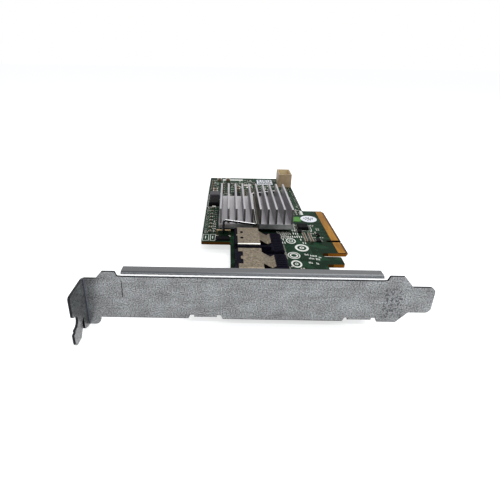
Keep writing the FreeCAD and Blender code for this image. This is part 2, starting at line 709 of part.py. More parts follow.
def port_shell(centre_y, is_near):
    """The folded metal shell of a cable port, with its spring arm over the housing."""
    floor = BOARD_TOP
    half = SHELL_WIDTH / 2
    inner = half - SHELL_T
    top = floor + SHELL_HEIGHT
    inner_r = SHELL_EDGE_R - SHELL_T
    foot = half - SHELL_FOOT
    shell = prism("X", PORT_FACE_X, SHELL_DEPTH, [
        (centre_y - foot, floor, 0),
        (centre_y - half, floor, SHELL_EDGE_R),
        (centre_y - half, top, SHELL_EDGE_R),
        (centre_y + half, top, SHELL_EDGE_R),
        (centre_y + half, floor, SHELL_EDGE_R),
        (centre_y + foot, floor, 0),
        (centre_y + foot, floor + SHELL_T, 0),
        (centre_y + inner, floor + SHELL_T, inner_r),
        (centre_y + inner, top - SHELL_T, inner_r),
        (centre_y - inner, top - SHELL_T, inner_r),
        (centre_y - inner, floor + SHELL_T, inner_r),
        (centre_y - foot, floor + SHELL_T, 0),
    ])
    shell_end = PORT_FACE_X + SHELL_DEPTH
    lip_x = shell_end + ARM_RUN + ARM_LIP_RUN
    lip_z = top - ARM_DROP + ARM_LIP_RISE
    arm = prism("Y", centre_y - ARM_WIDTH / 2, ARM_WIDTH, [
        (shell_end, top, 0),
        (shell_end + ARM_RUN, top - ARM_DROP, BEND_R_IN),
        (lip_x, lip_z, 0),
        (lip_x, lip_z - SHELL_T, 0),
        (shell_end + ARM_RUN, top - ARM_DROP - SHELL_T, BEND_R_IN),
        (shell_end, top - SHELL_T, 0),
    ])
    if is_near:
        return fuse([shell, arm]).cut(latch_cut(centre_y, top))
    nib_corner = Vector(PORT_FACE_X - LATCH_NIB_REACH, centre_y - LATCH_NIB_W / 2, top - SHELL_T)
    nib = Part.makeBox(LATCH_NIB_REACH, LATCH_NIB_W, SHELL_T, nib_corner)
    return fuse([shell, arm, nib]).cut(latch_holes(centre_y, top))


def latch_cut(centre_y, top):
    """The lobed opening in the near shell's roof, where a plug's latch goes."""
    back = PORT_FACE_X + LATCH_CUT_DEPTH
    half = LATCH_CUT_WIDTH / 2
    tongue = LATCH_CUT_TONGUE_W / 2
    return prism("Z", top - SHELL_T, SHELL_T, [
        (PORT_FACE_X, centre_y - half, 0),
        (back, centre_y - half, FACE_CORNER_R),
        (back, centre_y - tongue, FACE_CORNER_R),
        (back - LATCH_CUT_TONGUE_L, centre_y - tongue, FACE_CORNER_R),
        (back - LATCH_CUT_TONGUE_L, centre_y + tongue, FACE_CORNER_R),
        (back, centre_y + tongue, FACE_CORNER_R),
        (back, centre_y + half, FACE_CORNER_R),
        (PORT_FACE_X, centre_y + half, 0),
    ])


def latch_holes(centre_y, top):
    """The pair of round holes in the far shell's roof."""
    x = PORT_FACE_X + LATCH_HOLE_X
    return Part.makeCompound([
        rod(LATCH_HOLE_R, SHELL_T, x, centre_y + side * LATCH_HOLE_SPACING / 2, top - SHELL_T)
        for side in (-1, 1)
    ])


def port_housing(centre_y):
    """The moulded body of a cable port: mouth, contact slot and low rear block."""
    floor = BOARD_TOP + SHELL_T + HOUSING_CLEARANCE
    half = SHELL_WIDTH / 2 - SHELL_T - HOUSING_CLEARANCE
    top = BOARD_TOP + SHELL_HEIGHT - SHELL_T - HOUSING_CLEARANCE
    front_x = PORT_FACE_X - HOUSING_FRAME_REACH
    step_x = PORT_FACE_X + SHELL_DEPTH + HOUSING_CLEARANCE
    height = top - floor
    nose = Part.makeBox(step_x - front_x, 2 * half, height, Vector(front_x, centre_y - half, floor))
    long_edges = [e for e in nose.Edges if e.BoundBox.XLength > HOUSING_FRAME_REACH]
    nose = nose.makeFillet(SHELL_EDGE_R - SHELL_T, long_edges)
    rear_half = HOUSING_REAR_WIDTH / 2
    rear_length = HOUSING_REAR_X - step_x
    rear = Part.makeBox(rear_length, 2 * rear_half, HOUSING_REAR_HEIGHT,
                        Vector(step_x, centre_y - rear_half, BOARD_TOP))
    rear_edges = [e for e in rear.Edges if e.BoundBox.ZMin > BOARD_TOP + HOUSING_REAR_HEIGHT / 2
                  and e.BoundBox.XMax > step_x + rear_length / 2]
    rear = rear.makeChamfer(HOUSING_EDGE, rear_edges)
    mouth_half = half - HOUSING_WALL
    mouth = Part.makeBox(HOUSING_MOUTH_DEPTH, 2 * mouth_half, height - 2 * HOUSING_WALL,
                         Vector(front_x, centre_y - mouth_half, floor + HOUSING_WALL))
    slot_x = front_x + HOUSING_MOUTH_DEPTH
    slot = Part.makeBox(SLOT_DEPTH, SLOT_WIDTH, SLOT_HEIGHT,
                        Vector(slot_x, centre_y - SLOT_WIDTH / 2, BOARD_TOP + SLOT_Z))
    return fuse([nose, rear]).cut(mouth).cut(slot)


def port_contacts(centre_y):
    """Contact strips on both sides of a port's slot, and their tails on the board."""
    slot_x = PORT_FACE_X - HOUSING_FRAME_REACH + HOUSING_MOUTH_DEPTH
    blade = (SLOT_DEPTH, PORT_CONTACT_W, PORT_CONTACT_T)
    tail = (PORT_TAIL_LENGTH, PORT_CONTACT_W, PORT_CONTACT_T)
    blade_x = slot_x + SLOT_DEPTH / 2
    tail_x = HOUSING_REAR_X + PORT_TAIL_LENGTH / 2
    lower_z = BOARD_TOP + SLOT_Z
    upper_z = lower_z + SLOT_HEIGHT - PORT_CONTACT_T
    strips = []
    for index in range(PORT_CONTACT_COUNT):
        y = centre_y + (index - (PORT_CONTACT_COUNT - 1) / 2) * PORT_CONTACT_PITCH
        strips.append(block(blade_x, y, lower_z, blade))
        strips.append(block(blade_x, y, upper_z, blade))
        strips.append(block(tail_x, y, BOARD_TOP, tail))
    return strips


def header_housing():
    """The open-topped shroud round the header's pins, with the plug's latch window at the back."""
    shroud = block(HEADER_X, HEADER_Y, BOARD_TOP, (HEADER_WIDTH, HEADER_LENGTH, HEADER_HEIGHT))
    cavity_size = (HEADER_WIDTH - 2 * HEADER_WALL, HEADER_LENGTH - 2 * HEADER_WALL, HEADER_HEIGHT)
    cavity = block(HEADER_X, HEADER_Y, BOARD_TOP + HEADER_FLOOR, cavity_size)
    window_y = HEADER_Y + HEADER_LENGTH / 2
    window_z = BOARD_TOP + HEADER_HEIGHT - HEADER_WINDOW_DROP - HEADER_WINDOW_H
    window = block(HEADER_X, window_y, window_z, (HEADER_WINDOW_W, 3 * HEADER_WALL, HEADER_WINDOW_H))
    pin_holes = [block(x, y, BOARD_TOP, (PIN_SIZE, PIN_SIZE, HEADER_FLOOR)) for x, y in header_pin_centres()]
    return shroud.cut(cavity).cut(window).cut(Part.makeCompound(pin_holes))


def header_pins():
    """Square pins that pass through the shroud's floor and the board."""
    foot = STEEL_T - PIN_TAIL
    height = BOARD_TOP + PIN_TOP - foot
    return [block(x, y, foot, (PIN_SIZE, PIN_SIZE, height)) for x, y in header_pin_centres()]


def gull_wing(edge, foot_reach, lead_z, level):
    """Corners of a lead's side view, from the body's edge out and down to the board."""
    knee = edge + foot_reach / 3
    return [
        (edge, lead_z, 0),
        (knee, level, 0),
        (edge + foot_reach, level, 0),
        (edge + foot_reach, level + LEAD_T, 0),
        (knee + LEAD_T, level + LEAD_T, 0),
        (edge, lead_z + LEAD_T, 0),
    ]


def leaded_chip(x, y, body, leads, pitch, lead_width):
    """A flat chip package with a row of bent leads on its left and right sides."""
    length, width, height = body
    chip = block(x, y, BOARD_TOP + CHIP_STANDOFF, (length, width, height - CHIP_STANDOFF))
    lead_z = BOARD_TOP + height / 2
    corners = gull_wing(length / 2, LEAD_SPAN, lead_z, BOARD_TOP)
    wings = []
    for index in range(leads):
        lead_y = y + (index - (leads - 1) / 2) * pitch
        for side in (-1, 1):
            outline = [(x + side * a, b, r) for a, b, r in corners]
            wings.append(prism("Y", lead_y - lead_width / 2, lead_width, outline))
    return fuse([chip] + wings)


def firmware_chip():
    """The flat memory package behind the heatsink."""
    lead_width = FLASH_LEAD_PITCH * 0.45
    return leaded_chip(FLASH_X, FLASH_Y, FLASH_BODY, FLASH_LEAD_COUNT, FLASH_LEAD_PITCH, lead_width)


def leaded_chips(centres, body, leads, pitch):
    """Chips of one size at several places, with leads a third of their pitch wide."""
    return [leaded_chip(x, y, body, leads, pitch, pitch / 3) for x, y in centres]


def clock_crystal():
    """The crystal's lidded metal can."""
    return block(CRYSTAL_X, CRYSTAL_Y, BOARD_TOP, CRYSTAL_BODY)


def chamfered_block(x, y, body, chamfer):
    """A moulded block with its upper edges taken off."""
    solid = block(x, y, BOARD_TOP, body)
    upper = [e for e in solid.Edges if e.BoundBox.ZMin > BOARD_TOP + body[2] / 2]
    return solid.makeChamfer(chamfer, upper)


def transistors():
    """Small three-legged packages near the card edge and the right side."""
    return [chamfered_block(x, y, TRANSISTOR_BODY, TRANSISTOR_BODY[2] / 5) for x, y in TRANSISTORS]


def small_parts(rows, body, floor):
    """Two-ended parts in straight rows, on a level."""
    return [block(x, y, floor, body) for x, y in row_centres(rows)]


def chip_resistors():
    """The resistors that lie across the board, and those that lie along it."""
    across = small_parts(RESISTOR_ROWS, RESISTOR_BODY, BOARD_TOP)
    return across + small_parts(TURNED_RESISTOR_ROWS, TURNED_RESISTOR_BODY, BOARD_TOP)


def flat_label(x, y, size):
    """A stuck-on label with rounded corners."""
    length, width = size
    left = x - length / 2
    front = y - width / 2
    return prism("Z", BOARD_TOP, LABEL_T, [
        (left, front, LABEL_CORNER_R),
        (left + length, front, LABEL_CORNER_R),
        (left + length, front + width, LABEL_CORNER_R),
        (left, front + width, LABEL_CORNER_R),
    ])


def all_parts():
    """Every node's name with its solids."""
    underside_z = STEEL_T - CAPACITOR_BODY[2]
    green_x = SINK_RIGHT + GREEN_STICKER_FROM_SINK
    switch = chamfered_block(POWER_TRANSISTOR_X, POWER_TRANSISTOR_Y, POWER_TRANSISTOR_BODY, SHELL_T)
    nodes = {
        "bracket": [bracket()],
        "bracket_screws": bracket_screws(),
        "circuit_board": [circuit_board()],
        "upper_edge_contacts": edge_contacts(BOARD_TOP),
        "lower_edge_contacts": edge_contacts(STEEL_T - CONTACT_T),
        "controller_chip": [controller_chip()],
        "thermal_pad": [thermal_pad()],
        "heatsink": [heatsink()],
        "heatsink_clip": [heatsink_clip()],
        "clip_anchors": clip_anchors(),
        "header_housing": [header_housing()],
        "header_pins": header_pins(),
        "firmware_chip": [firmware_chip()],
        "memory_chips": leaded_chips(MEMORY_CHIPS, MEMORY_BODY, MEMORY_LEAD_COUNT, WIDE_LEAD_PITCH),
        "logic_chips": leaded_chips(LOGIC_CHIPS, LOGIC_BODY, LOGIC_LEAD_COUNT, LOGIC_LEAD_PITCH),
        "clock_crystal": [clock_crystal()],
        "power_inductor": [chamfered_block(INDUCTOR_X, INDUCTOR_Y, INDUCTOR_BODY, HOUSING_EDGE)],
        "power_choke": [chamfered_block(CHOKE_X, CHOKE_Y, CHOKE_BODY, HOUSING_EDGE)],
        "power_transistor": [switch],
        "transistors": transistors(),
        "chip_resistors": chip_resistors(),
        "chip_capacitors": small_parts(CAPACITOR_ROWS, CAPACITOR_BODY, BOARD_TOP),
        "bulk_capacitors": small_parts(BULK_CAPACITOR_ROWS, BULK_CAPACITOR_BODY, BOARD_TOP),
        "underside_capacitors": small_parts(UNDERSIDE_CAPACITOR_ROWS, CAPACITOR_BODY, underside_z),
        "tracking_label": [flat_label(TRACKING_LABEL_X, TRACKING_LABEL_Y, TRACKING_LABEL_SIZE)],
        "round_label": [rod(ROUND_LABEL_R, LABEL_T, ROUND_LABEL_X, ROUND_LABEL_Y, BOARD_TOP)],
        "green_sticker": [flat_label(green_x, GREEN_STICKER_Y, GREEN_STICKER_SIZE)],
    }
    for side, centre_y in PORT_CENTRES.items():
        nodes[side + "_port_shell"] = [port_shell(centre_y, side == "near")]
        nodes[side + "_port_housing"] = [port_housing(centre_y)]
        nodes[side + "_port_contacts"] = port_contacts(centre_y)
    return nodes


def main():
    """Build every node and write it about the card's origin."""
    os.makedirs("parts", exist_ok=True)
    for name, solids in all_parts().items():
        shape = solids[0] if len(solids) == 1 else Part.makeCompound(solids)
        shape.translate(-ORIGIN)
        shape.exportStep("parts/" + name + ".step")
        print(name, len(shape.Solids), "solids, valid" if shape.isValid() else "solids, NOT VALID")


if __name__ == "__main__":
    main()
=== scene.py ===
"""Looks of a storage controller card: finishes, soldered parts, print and studio.

Lengths are millimetres in the card's own frame, whose origin is the centre of the
bracket's outer face, with X towards the card edge, Y back along the board and Z up.
"""

import json
import logging
import math
import random
from collections.abc import Sequence
from dataclasses import dataclass, field
from enum import Enum
from itertools import product

import bpy
from mathutils import Matrix, Vector

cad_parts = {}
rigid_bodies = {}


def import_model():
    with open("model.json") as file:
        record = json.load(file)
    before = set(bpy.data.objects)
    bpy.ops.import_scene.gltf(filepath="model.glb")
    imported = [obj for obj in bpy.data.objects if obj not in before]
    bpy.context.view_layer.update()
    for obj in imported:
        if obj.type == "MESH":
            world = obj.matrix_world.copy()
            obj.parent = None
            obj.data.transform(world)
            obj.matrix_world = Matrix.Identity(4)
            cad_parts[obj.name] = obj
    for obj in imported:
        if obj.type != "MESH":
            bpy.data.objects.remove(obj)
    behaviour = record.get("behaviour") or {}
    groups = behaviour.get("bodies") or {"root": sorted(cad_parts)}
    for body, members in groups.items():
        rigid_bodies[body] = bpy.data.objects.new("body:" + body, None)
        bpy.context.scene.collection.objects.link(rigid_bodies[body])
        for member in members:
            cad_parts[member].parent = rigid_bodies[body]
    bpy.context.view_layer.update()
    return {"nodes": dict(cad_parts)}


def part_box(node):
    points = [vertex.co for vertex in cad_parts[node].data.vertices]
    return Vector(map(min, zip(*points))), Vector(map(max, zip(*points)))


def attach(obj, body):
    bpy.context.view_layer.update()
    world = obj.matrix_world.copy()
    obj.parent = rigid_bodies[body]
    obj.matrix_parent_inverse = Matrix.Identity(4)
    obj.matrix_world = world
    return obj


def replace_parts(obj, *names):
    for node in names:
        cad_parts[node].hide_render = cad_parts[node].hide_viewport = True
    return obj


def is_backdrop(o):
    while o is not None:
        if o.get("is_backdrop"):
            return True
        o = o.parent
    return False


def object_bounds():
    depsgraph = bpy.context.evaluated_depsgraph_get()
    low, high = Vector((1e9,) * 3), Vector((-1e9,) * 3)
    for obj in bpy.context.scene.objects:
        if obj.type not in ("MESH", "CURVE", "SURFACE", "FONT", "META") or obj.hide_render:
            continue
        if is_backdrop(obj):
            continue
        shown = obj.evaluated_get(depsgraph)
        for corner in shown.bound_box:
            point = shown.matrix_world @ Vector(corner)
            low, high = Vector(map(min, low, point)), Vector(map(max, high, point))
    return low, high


LOG = logging.getLogger("card")
MM = 0.001
PRINT_SEED = 7
# The open end of a range, past any length on the card
FAR = 500.0
# Sockets of the mix node that take the share and the two colours
SHARE, UNDER, OVER = 0, 6, 7
# The stretches of the noise that hold its patches and its grain
PATCHES = {"From Min": 0.35, "From Max": 0.65}
GRAIN = {"From Min": 0.3, "From Max": 0.7}

Point2 = tuple[float, float]
Point3 = tuple[float, float, float]
Box = tuple[Point3, Point3]
Ranges = dict[str, Point2]
Tree = bpy.types.NodeTree
Node = bpy.types.Node
Source = bpy.types.Node | bpy.types.NodeSocket
Measures = dict[str, Source]

# A pattern that runs the same in every direction
EVEN: Point3 = (1.0, 1.0, 1.0)
# Where coats lie: the bracket's outer side, its flange, and the cut edges of the board
FRONT: Ranges = {"y": (-FAR, 1.3), "ny": (-FAR, -0.3)}
FLANGE: Ranges = {**FRONT, "x": (-46.4, 42.1)}
CUT: Ranges = {"nz": (-0.7, 0.7)}


class Slot(Enum):
    """The record's finish slots, which each new piece keeps."""

    BOARD = "solder_mask"
    MOULDED = "black_mould"
    RESISTOR = "resistor_ceramic"
    CAPACITOR = "capacitor_ceramic"
    BULK = "bulk_ceramic"
    TIN = "pin_tin"
    PLASTIC = "port_plastic"
    PAPER = "white_label"


class Axis(Enum):
    """The axis that an outline is thickened along."""

    X = 0
    Y = 1
    Z = 2


def linear(hex_colour: str) -> tuple[float, float, float, float]:
    """Turns an sRGB hex colour to linear light.

    Args:
        hex_colour: Six hex digits after a hash.

    Returns:
        Red, green, blue and an alpha of one.
    """
    channels = [int(hex_colour[i : i + 2], 16) / 255 for i in (1, 3, 5)]
    light = [c / 12.92 if c <= 0.04045 else ((c + 0.055) / 1.055) ** 2.4 for c in channels]
    return light[0], light[1], light[2], 1.0


def add_node(tree: Tree, kind: str, inputs: dict | None = None, **settings: object) -> Node:
    """Adds a shader node with its settings, values and links.

    Args:
        tree: The material's or world's node tree.
        kind: Blender's name for the node, after "ShaderNode".
        inputs: Socket name or number to a value, to an output socket, or to a node
            whose first output in use is linked.
        **settings: Properties of the node itself.

    Returns:
        The new node.
    """
    made = tree.nodes.new("ShaderNode" + kind)
    for name, value in settings.items():
        setattr(made, name, value)
    for name, value in (inputs or {}).items():
        if isinstance(value, Node):
            value = next(output for output in value.outputs if output.enabled)
        if isinstance(value, bpy.types.NodeSocket):
            tree.links.new(value, made.inputs[name])
        else:
            made.inputs[name].default_value = value
    return made


@dataclass(frozen=True)
class Coat:
    """A colour that lies over a finish wherever some measures are within their ranges.

    Attributes:
        colour: The colour.
        where: Lowest and highest value of each measure, by its name in Finish.measures.
    """

    colour: str
    where: Ranges


@dataclass(frozen=True)
class Finish:
    """A surface of two close colours in patches, with grain in its gloss and relief.

    Attributes:
        name: The real material and how its surface was made.
        base: Its main colour.
        tint: The colour that its patches drift to.
        patch_mm: Size of the patches.
        grain_mm: Size of the grain.
        rough: Lowest and highest roughness over the grain.
        relief_mm: Height of the grain.
        level: Strength of its gloss, half for a polished surface; none for a metal.
        ior: Index of refraction of what isn't metal.
        drawn: Share of each axis in the patterns, under one along a drawn direction.
        coats: Colours laid over it in turn.
    """

    name: str
    base: str
    tint: str
    patch_mm: float
    grain_mm: float
    rough: Point2
    relief_mm: float = 0.01
    level: float | None = None
    ior: float = 1.5
    drawn: Point3 = EVEN
    coats: tuple[Coat, ...] = ()

    def noise(self, tree: Tree, place: Source, size_mm: float, detail: float = 3.0) -> Node:
        """Gives cloudy noise from zero to one, whose blots have a real size.

        Args:
            tree: The material's node tree.
            place: The point in metres that the noise is read at.
            size_mm: Size of one blot.
            detail: Octaves of finer noise in it.

        Returns:
            The noise.
        """
        values = {"Vector": place, "Scale": 1 / (size_mm * MM), "Detail": detail}
        return add_node(tree, "TexNoise", values)

    def measures(self, tree: Tree, point: Source) -> Measures:
        """Gives what the coats test.

        Args:
            tree: The material's node tree.
            point: The point in metres.

        Returns:
            The point and its x, y and z in millimetres, and the normal's nx, ny and nz.
        """
        millimetres = add_node(tree, "VectorMath", {0: point, "Scale": 1 / MM}, operation="SCALE")
        normal = add_node(tree, "NewGeometry").outputs["Normal"]
        found: Measures = {"point": millimetres}
        for names, vector in ((("x", "y", "z"), millimetres), (("nx", "ny", "nz"), normal)):
            found.update(zip(names, add_node(tree, "SeparateXYZ", {0: vector}).outputs))
        return found

    def within(self, tree: Tree, measures: Measures, where: Ranges) -> Source:
        """Gives one wherever every measure is within its range, and zero elsewhere.

        Args:
            tree: The material's node tree.
            measures: All the measures.
            where: Lowest and highest value of those that are tested.

        Returns:
            The product of the tests.
        """
        share: Source | float = 1.0
        for name, (low, high) in where.items():
            test = {0: measures[name], 1: (low + high) / 2, 2: (high - low) / 2}
            held = add_node(tree, "Math", test, operation="COMPARE")
            share = add_node(tree, "Math", {0: share, 1: held}, operation="MULTIPLY")
        return share

    def mottle(self, tree: Tree, under: Source, place: Source, span: Point2) -> Node:
        """Darkens and lightens a colour by the grain.

        Args:
            tree: The material's node tree.
            under: The plain colour.
            place: The point that the grain is read at.
            span: What the darkest and the lightest grains multiply the colour by.

        Returns:
            The mottled colour.
        """
        grain = self.noise(tree, place, self.grain_mm, 1.0)
        values = {"Value": grain, **GRAIN, "To Min": span[0], "To Max": span[1]}
        shade = add_node(tree, "MapRange", values)
        return add_node(tree, "VectorMath", {0: under, "Scale": shade}, operation="SCALE")

    def colour(self, tree: Tree, place: Source, measures: Measures) -> Node:
        """Gives the colour under the coats.

        Args:
            tree: The material's node tree.
            place: The point in metres, stretched for a drawn surface.
            measures: What the coats test, if there are any.

        Returns:
            The colour.
        """
        patches = self.noise(tree, place, self.patch_mm)
        share = add_node(tree, "MapRange", {"Value": patches, **PATCHES})
        mix = {SHARE: share, UNDER: linear(self.base), OVER: linear(self.tint)}
        return add_node(tree, "Mix", mix, data_type="RGBA")

    def make(self) -> bpy.types.Material:
        """Builds the material, named for what it really is."""
        material = bpy.data.materials.new(self.name)
        material.use_nodes = True
        tree = material.node_tree
        tree.nodes.clear()
        point = add_node(tree, "TexCoord").outputs["Object"]
        place = add_node(tree, "VectorMath", {0: point, 1: self.drawn}, operation="MULTIPLY")
        measures = self.measures(tree, point) if self.coats else {}
        colour = self.colour(tree, place, measures)
        for coat in self.coats:
            share = self.within(tree, measures, coat.where)
            mix = {SHARE: share, UNDER: colour, OVER: linear(coat.colour)}
            colour = add_node(tree, "Mix", mix, data_type="RGBA")
        grain = self.noise(tree, place, self.grain_mm)
        values = {"Value": grain, **GRAIN, "To Min": self.rough[0], "To Max": self.rough[1]}
        gloss = add_node(tree, "MapRange", values)
        bump = add_node(tree, "Bump", {"Height": grain, "Distance": self.relief_mm * MM})
        surface = {"Base Color": colour, "Roughness": gloss, "Normal": bump}
        if self.level is None:
            surface["Metallic"] = 1.0
        else:
            surface.update({"IOR": self.ior, "Specular IOR Level": self.level})
        shader = add_node(tree, "BsdfPrincipled", surface)
        add_node(tree, "OutputMaterial", {"Surface": shader})
        return material


@dataclass(frozen=True)
class ZincPlate(Finish):
    """Zinc on rolled sheet, with rolling streaks, strong grain and edges that waver.

    Attributes:
        streak: The colour of the darker streaks along the sheet.
        rolled: Share of each axis in the streaks.
        mottled: What the darkest and the lightest grains multiply the colour by.
        waver_mm: How far the edges of the painted bands and of the upright mark waver.
        waver_patch_mm: Length of one waver.
        blot_mm: Size of the dull blots.
    """

    streak: str = "#5f605f"
    rolled: Point3 = (0.12, 1.0, 1.0)
    mottled: Point2 = (0.4, 1.6)
    waver_mm: float = 0.2
    waver_patch_mm: float = 1.2
    blot_mm: float = 0.8

    def measures(self, tree: Tree, point: Source) -> Measures:
        """Adds x and z as they waver, how far a face looks into a fold, and the blots."""
        found = super().measures(tree, point)
        cloud = self.noise(tree, point, self.waver_patch_mm)
        stray = add_node(tree, "Math", {0: cloud, 1: self.waver_mm}, operation="MULTIPLY")
        for name, first, second, operation in (
            ("stray_x", "x", stray, "SUBTRACT"),
            ("stray_z", "z", stray, "ADD"),
            ("into_fold", "nx", found["ny"], "MULTIPLY"),
        ):
            values = {0: found[first], 1: second}
            found[name] = add_node(tree, "Math", values, operation=operation)
        found["blots"] = self.noise(tree, point, self.blot_mm, 1.0)
        return found

    def colour(self, tree: Tree, place: Source, measures: Measures) -> Node:
        """Gives the clouds, streaks along the sheet, and fine light and dark grain."""
        clouds = super().colour(tree, place, measures)
        rolled = add_node(tree, "VectorMath", {0: place, 1: self.rolled}, operation="MULTIPLY")
        streaks = self.noise(tree, rolled, self.patch_mm / 4, 4.0)
        values = {"Value": streaks, "From Min": 0.5, "From Max": 0.72, "To Max": 0.55}
        share = add_node(tree, "MapRange", values)
        mix = {SHARE: share, UNDER: clouds, OVER: linear(self.streak)}
        streaked = add_node(tree, "Mix", mix, data_type="RGBA")
        return self.mottle(tree, streaked, place, self.mottled)


@dataclass(frozen=True)
class ShellSheet(Finish):
    """Nickel plated sheet, handled and speckled, with shade at its latch holes.

    Attributes:
        speck: The colour of the dull specks.
        mottled: What the darkest and the lightest grains multiply the colour by.
        latch_holes: Centre of each latch hole.
        oval: Share of each axis in the distance from a hole.
    """

    speck: str = "#4e453c"
    mottled: Point2 = (0.45, 1.6)
    latch_holes: tuple[Point2, ...] = ((-4.11, 43.8), (-4.11, 49.5))
    oval: Point3 = (1.5, 1.0, 0.0)

    def measures(self, tree: Tree, point: Source) -> Measures:
        """Adds the distance from the nearer latch hole."""
        found = super().measures(tree, point)
        nearest: Source | float = FAR
        for x, y in self.latch_holes:
            offset = {0: found["point"], 1: (x, y, 0.0)}
            away = add_node(tree, "VectorMath", offset, operation="SUBTRACT")
            oval = add_node(tree, "VectorMath", {0: away, 1: self.oval}, operation="MULTIPLY")
            length = add_node(tree, "VectorMath", {0: oval}, operation="LENGTH")
            nearest = add_node(tree, "Math", {0: nearest, 1: length}, operation="MINIMUM")
        found["from_latch"] = nearest
        return found

    def colour(self, tree: Tree, place: Source, measures: Measures) -> Node:
        """Gives the patches, the specks, and fine light and dark grain."""
        specks = self.noise(tree, place, self.grain_mm, 2.0)
        values = {"Value": specks, "From Min": 0.55, "From Max": 0.75, "To Max": 0.8}
        share = add_node(tree, "MapRange", values)
        patches = super().colour(tree, place, measures)
        mix = {SHARE: share, UNDER: patches, OVER: linear(self.speck)}
        speckled = add_node(tree, "Mix", mix, data_type="RGBA")
        return self.mottle(tree, speckled, place, self.mottled)


@dataclass(frozen=True)
class MaskedBoard(Finish):
    """Green solder mask over etched copper, with the bare glass laminate on its cut edges.

    Attributes:
        copper: The mask's colour where copper lies under it.
        laminate: The colour of the cut edges and of the card edge.
        layer: The colour of the glass layers in the cut edges.
        bare_from: X past which the card edge has no mask.
        trace_mm: Pitch of the fine tracks.
        layer_mm: Pitch of the glass layers.
        poured_from: Cloud above which the copper is poured over an area.
        turned_from: Cloud above which the tracks run lengthwise.
    """

    copper: str = "#1f3d2a"
    laminate: str = "#5e390f"
    layer: str = "#221304"
    bare_from: float = 40.5
    trace_mm: float = 0.9
    layer_mm: float = 0.35
    poured_from: float = 0.56
    turned_from: float = 0.46

    def bands(self, tree: Tree, place: Source, pitch_mm: float, across: str) -> Source:
        """Gives straight bands of a real pitch, from zero to one.

        Args:
            tree: The material's node tree.
            place: The point that the bands are read at.
            pitch_mm: Pitch of the bands.
            across: The axis across them.

        Returns:
            The bands.
        """
        # The wave node turns once in a length of tau / 20 at a scale of one
        values = {"Vector": place, "Scale": math.tau / (20 * pitch_mm * MM)}
        return add_node(tree, "TexWave", values, bands_direction=across).outputs["Fac"]

    def colour(self, tree: Tree, place: Source, measures: Measures) -> Node:
        """Gives mask with copper areas and tracks, or laminate where there is no mask."""
        areas = self.noise(tree, place, self.patch_mm, 1.0)
        poured, turned = (
            add_node(tree, "Math", {0: areas, 1: least}, operation="GREATER_THAN")
            for least in (self.poured_from, self.turned_from)
        )
        lengthwise = self.bands(tree, place, self.trace_mm, "X")
        across = self.bands(tree, place, self.trace_mm, "Y")
        tracks = add_node(tree, "Mix", {SHARE: turned, "A": across, "B": lengthwise})
        values = {"Value": tracks, "From Min": 0.62, "From Max": 0.8, "To Max": 0.5}
        lines = add_node(tree, "MapRange", values)
        metal = add_node(tree, "Math", {0: poured, 1: lines}, operation="MAXIMUM")
        plain = super().colour(tree, place, measures)
        mix = {SHARE: metal, UNDER: plain, OVER: linear(self.copper)}
        mask = add_node(tree, "Mix", mix, data_type="RGBA")
        layers = self.bands(tree, place, self.layer_mm, "Z")
        mix = {SHARE: layers, UNDER: linear(self.laminate), OVER: linear(self.layer)}
        glass = add_node(tree, "Mix", mix, data_type="RGBA")
        cut = self.within(tree, measures, CUT)
        bare = self.within(tree, measures, {"x": (self.bare_from, FAR)})
        unmasked = add_node(tree, "Math", {0: cut, 1: bare}, operation="MAXIMUM")
        mix = {SHARE: unmasked, UNDER: mask, OVER: glass}
        return add_node(tree, "Mix", mix, data_type="RGBA")


ZINC_COATS = (
    # The flange's flat top in painted shade, painted shade in the crease under the bend, a
    # painted highlight on the bend and painted shade on its upper part
    Coat("#6d6e70", {"nz": (0.7, FAR), "x": FLANGE["x"]}),
    Coat("#2c2d2f", {**FLANGE, "stray_z": (7.4, FAR)}),
    Coat("#f2f3f4", {**FLANGE, "stray_z": (7.98, FAR)}),
    Coat("#55575a", {**FLANGE, "stray_z": (8.5, FAR)}),
    # Painted shade along the lower edge past the tab's foot, and the faint upright mark at the
    # flange's end
    Coat("#2c2d2f", {**FRONT, "z": (-FAR, -9.02), "x": (-54.0, FAR)}),
    Coat("#2c2d2f", {**FRONT, "stray_x": (-46.54, -46.26), "z": (-0.8, 6.0)}),
    # Dull blots stand for the stamping near the tongue
    Coat("#505154", {**FRONT, "blots": (0.56, FAR), "x": (43.2, 50.2), "z": (-7.6, 4.6)}),
    # Painted shade inside the tab's fold, then the sheared edges of the face and of the tab
    Coat("#4b4e55", {"into_fold": (-FAR, -0.15), "nx": (0.0, FAR)}),
    Coat("#26272a", {"ny": (-0.3, 0.3), "y": (-FAR, 0.88), "x": (-59.13, FAR)}),
    Coat("#26272a", {"nx": (-0.3, 0.3), "y": (-FAR, -0.5)}),
)
SHELL_COATS = (
    # The far roof has painted shade at its latch holes, and a painted highlight where it folds
    # down
    Coat("#0c0b0c", {"from_latch": (-1.1, 1.1), "z": (1.1, FAR)}),
    Coat("#e6e4de", {"ny": (-FAR, -0.4), "y": (37.45, 38.85), "z": (1.1, FAR)}),
)
SINK_COATS = (
    # Painted light on the fins' faces that look to the card edge, painted shade on their sawn
    # ends and in the wire's channel
    Coat("#d3d1d4", {"nx": (0.7, FAR)}),
    Coat("#6b6969", {"ny": (-FAR, -0.7), "z": (-1.28, FAR)}),
    Coat("#6b6969", {"ny": (0.7, FAR), "z": (-1.28, FAR)}),
    Coat("#87837d", {"x": (2.22, 5.46)}),
)
BOARD_COATS = (
    # The ground edges beside the contacts, and the walls of the key, which are in shade
    Coat("#8f5817", {**CUT, "x": (36.0, FAR)}),
    Coat("#150c04", {**CUT, "y": (57.2, 59.4), "x": (-FAR, 48.0)}),
)
# A round wire mirrors the ceiling on its top; the dark card on its sides is a painted reflection
WIRE_COATS = (Coat("#1f1f21", {"nz": (-FAR, 0.8)}),)
# Painted light inside the shroud, standing for light that comes through its walls
SHROUD_COATS = (Coat("#dccaa4", {"x": (24.99, 32.19), "y": (142.35, 154.45)}),)

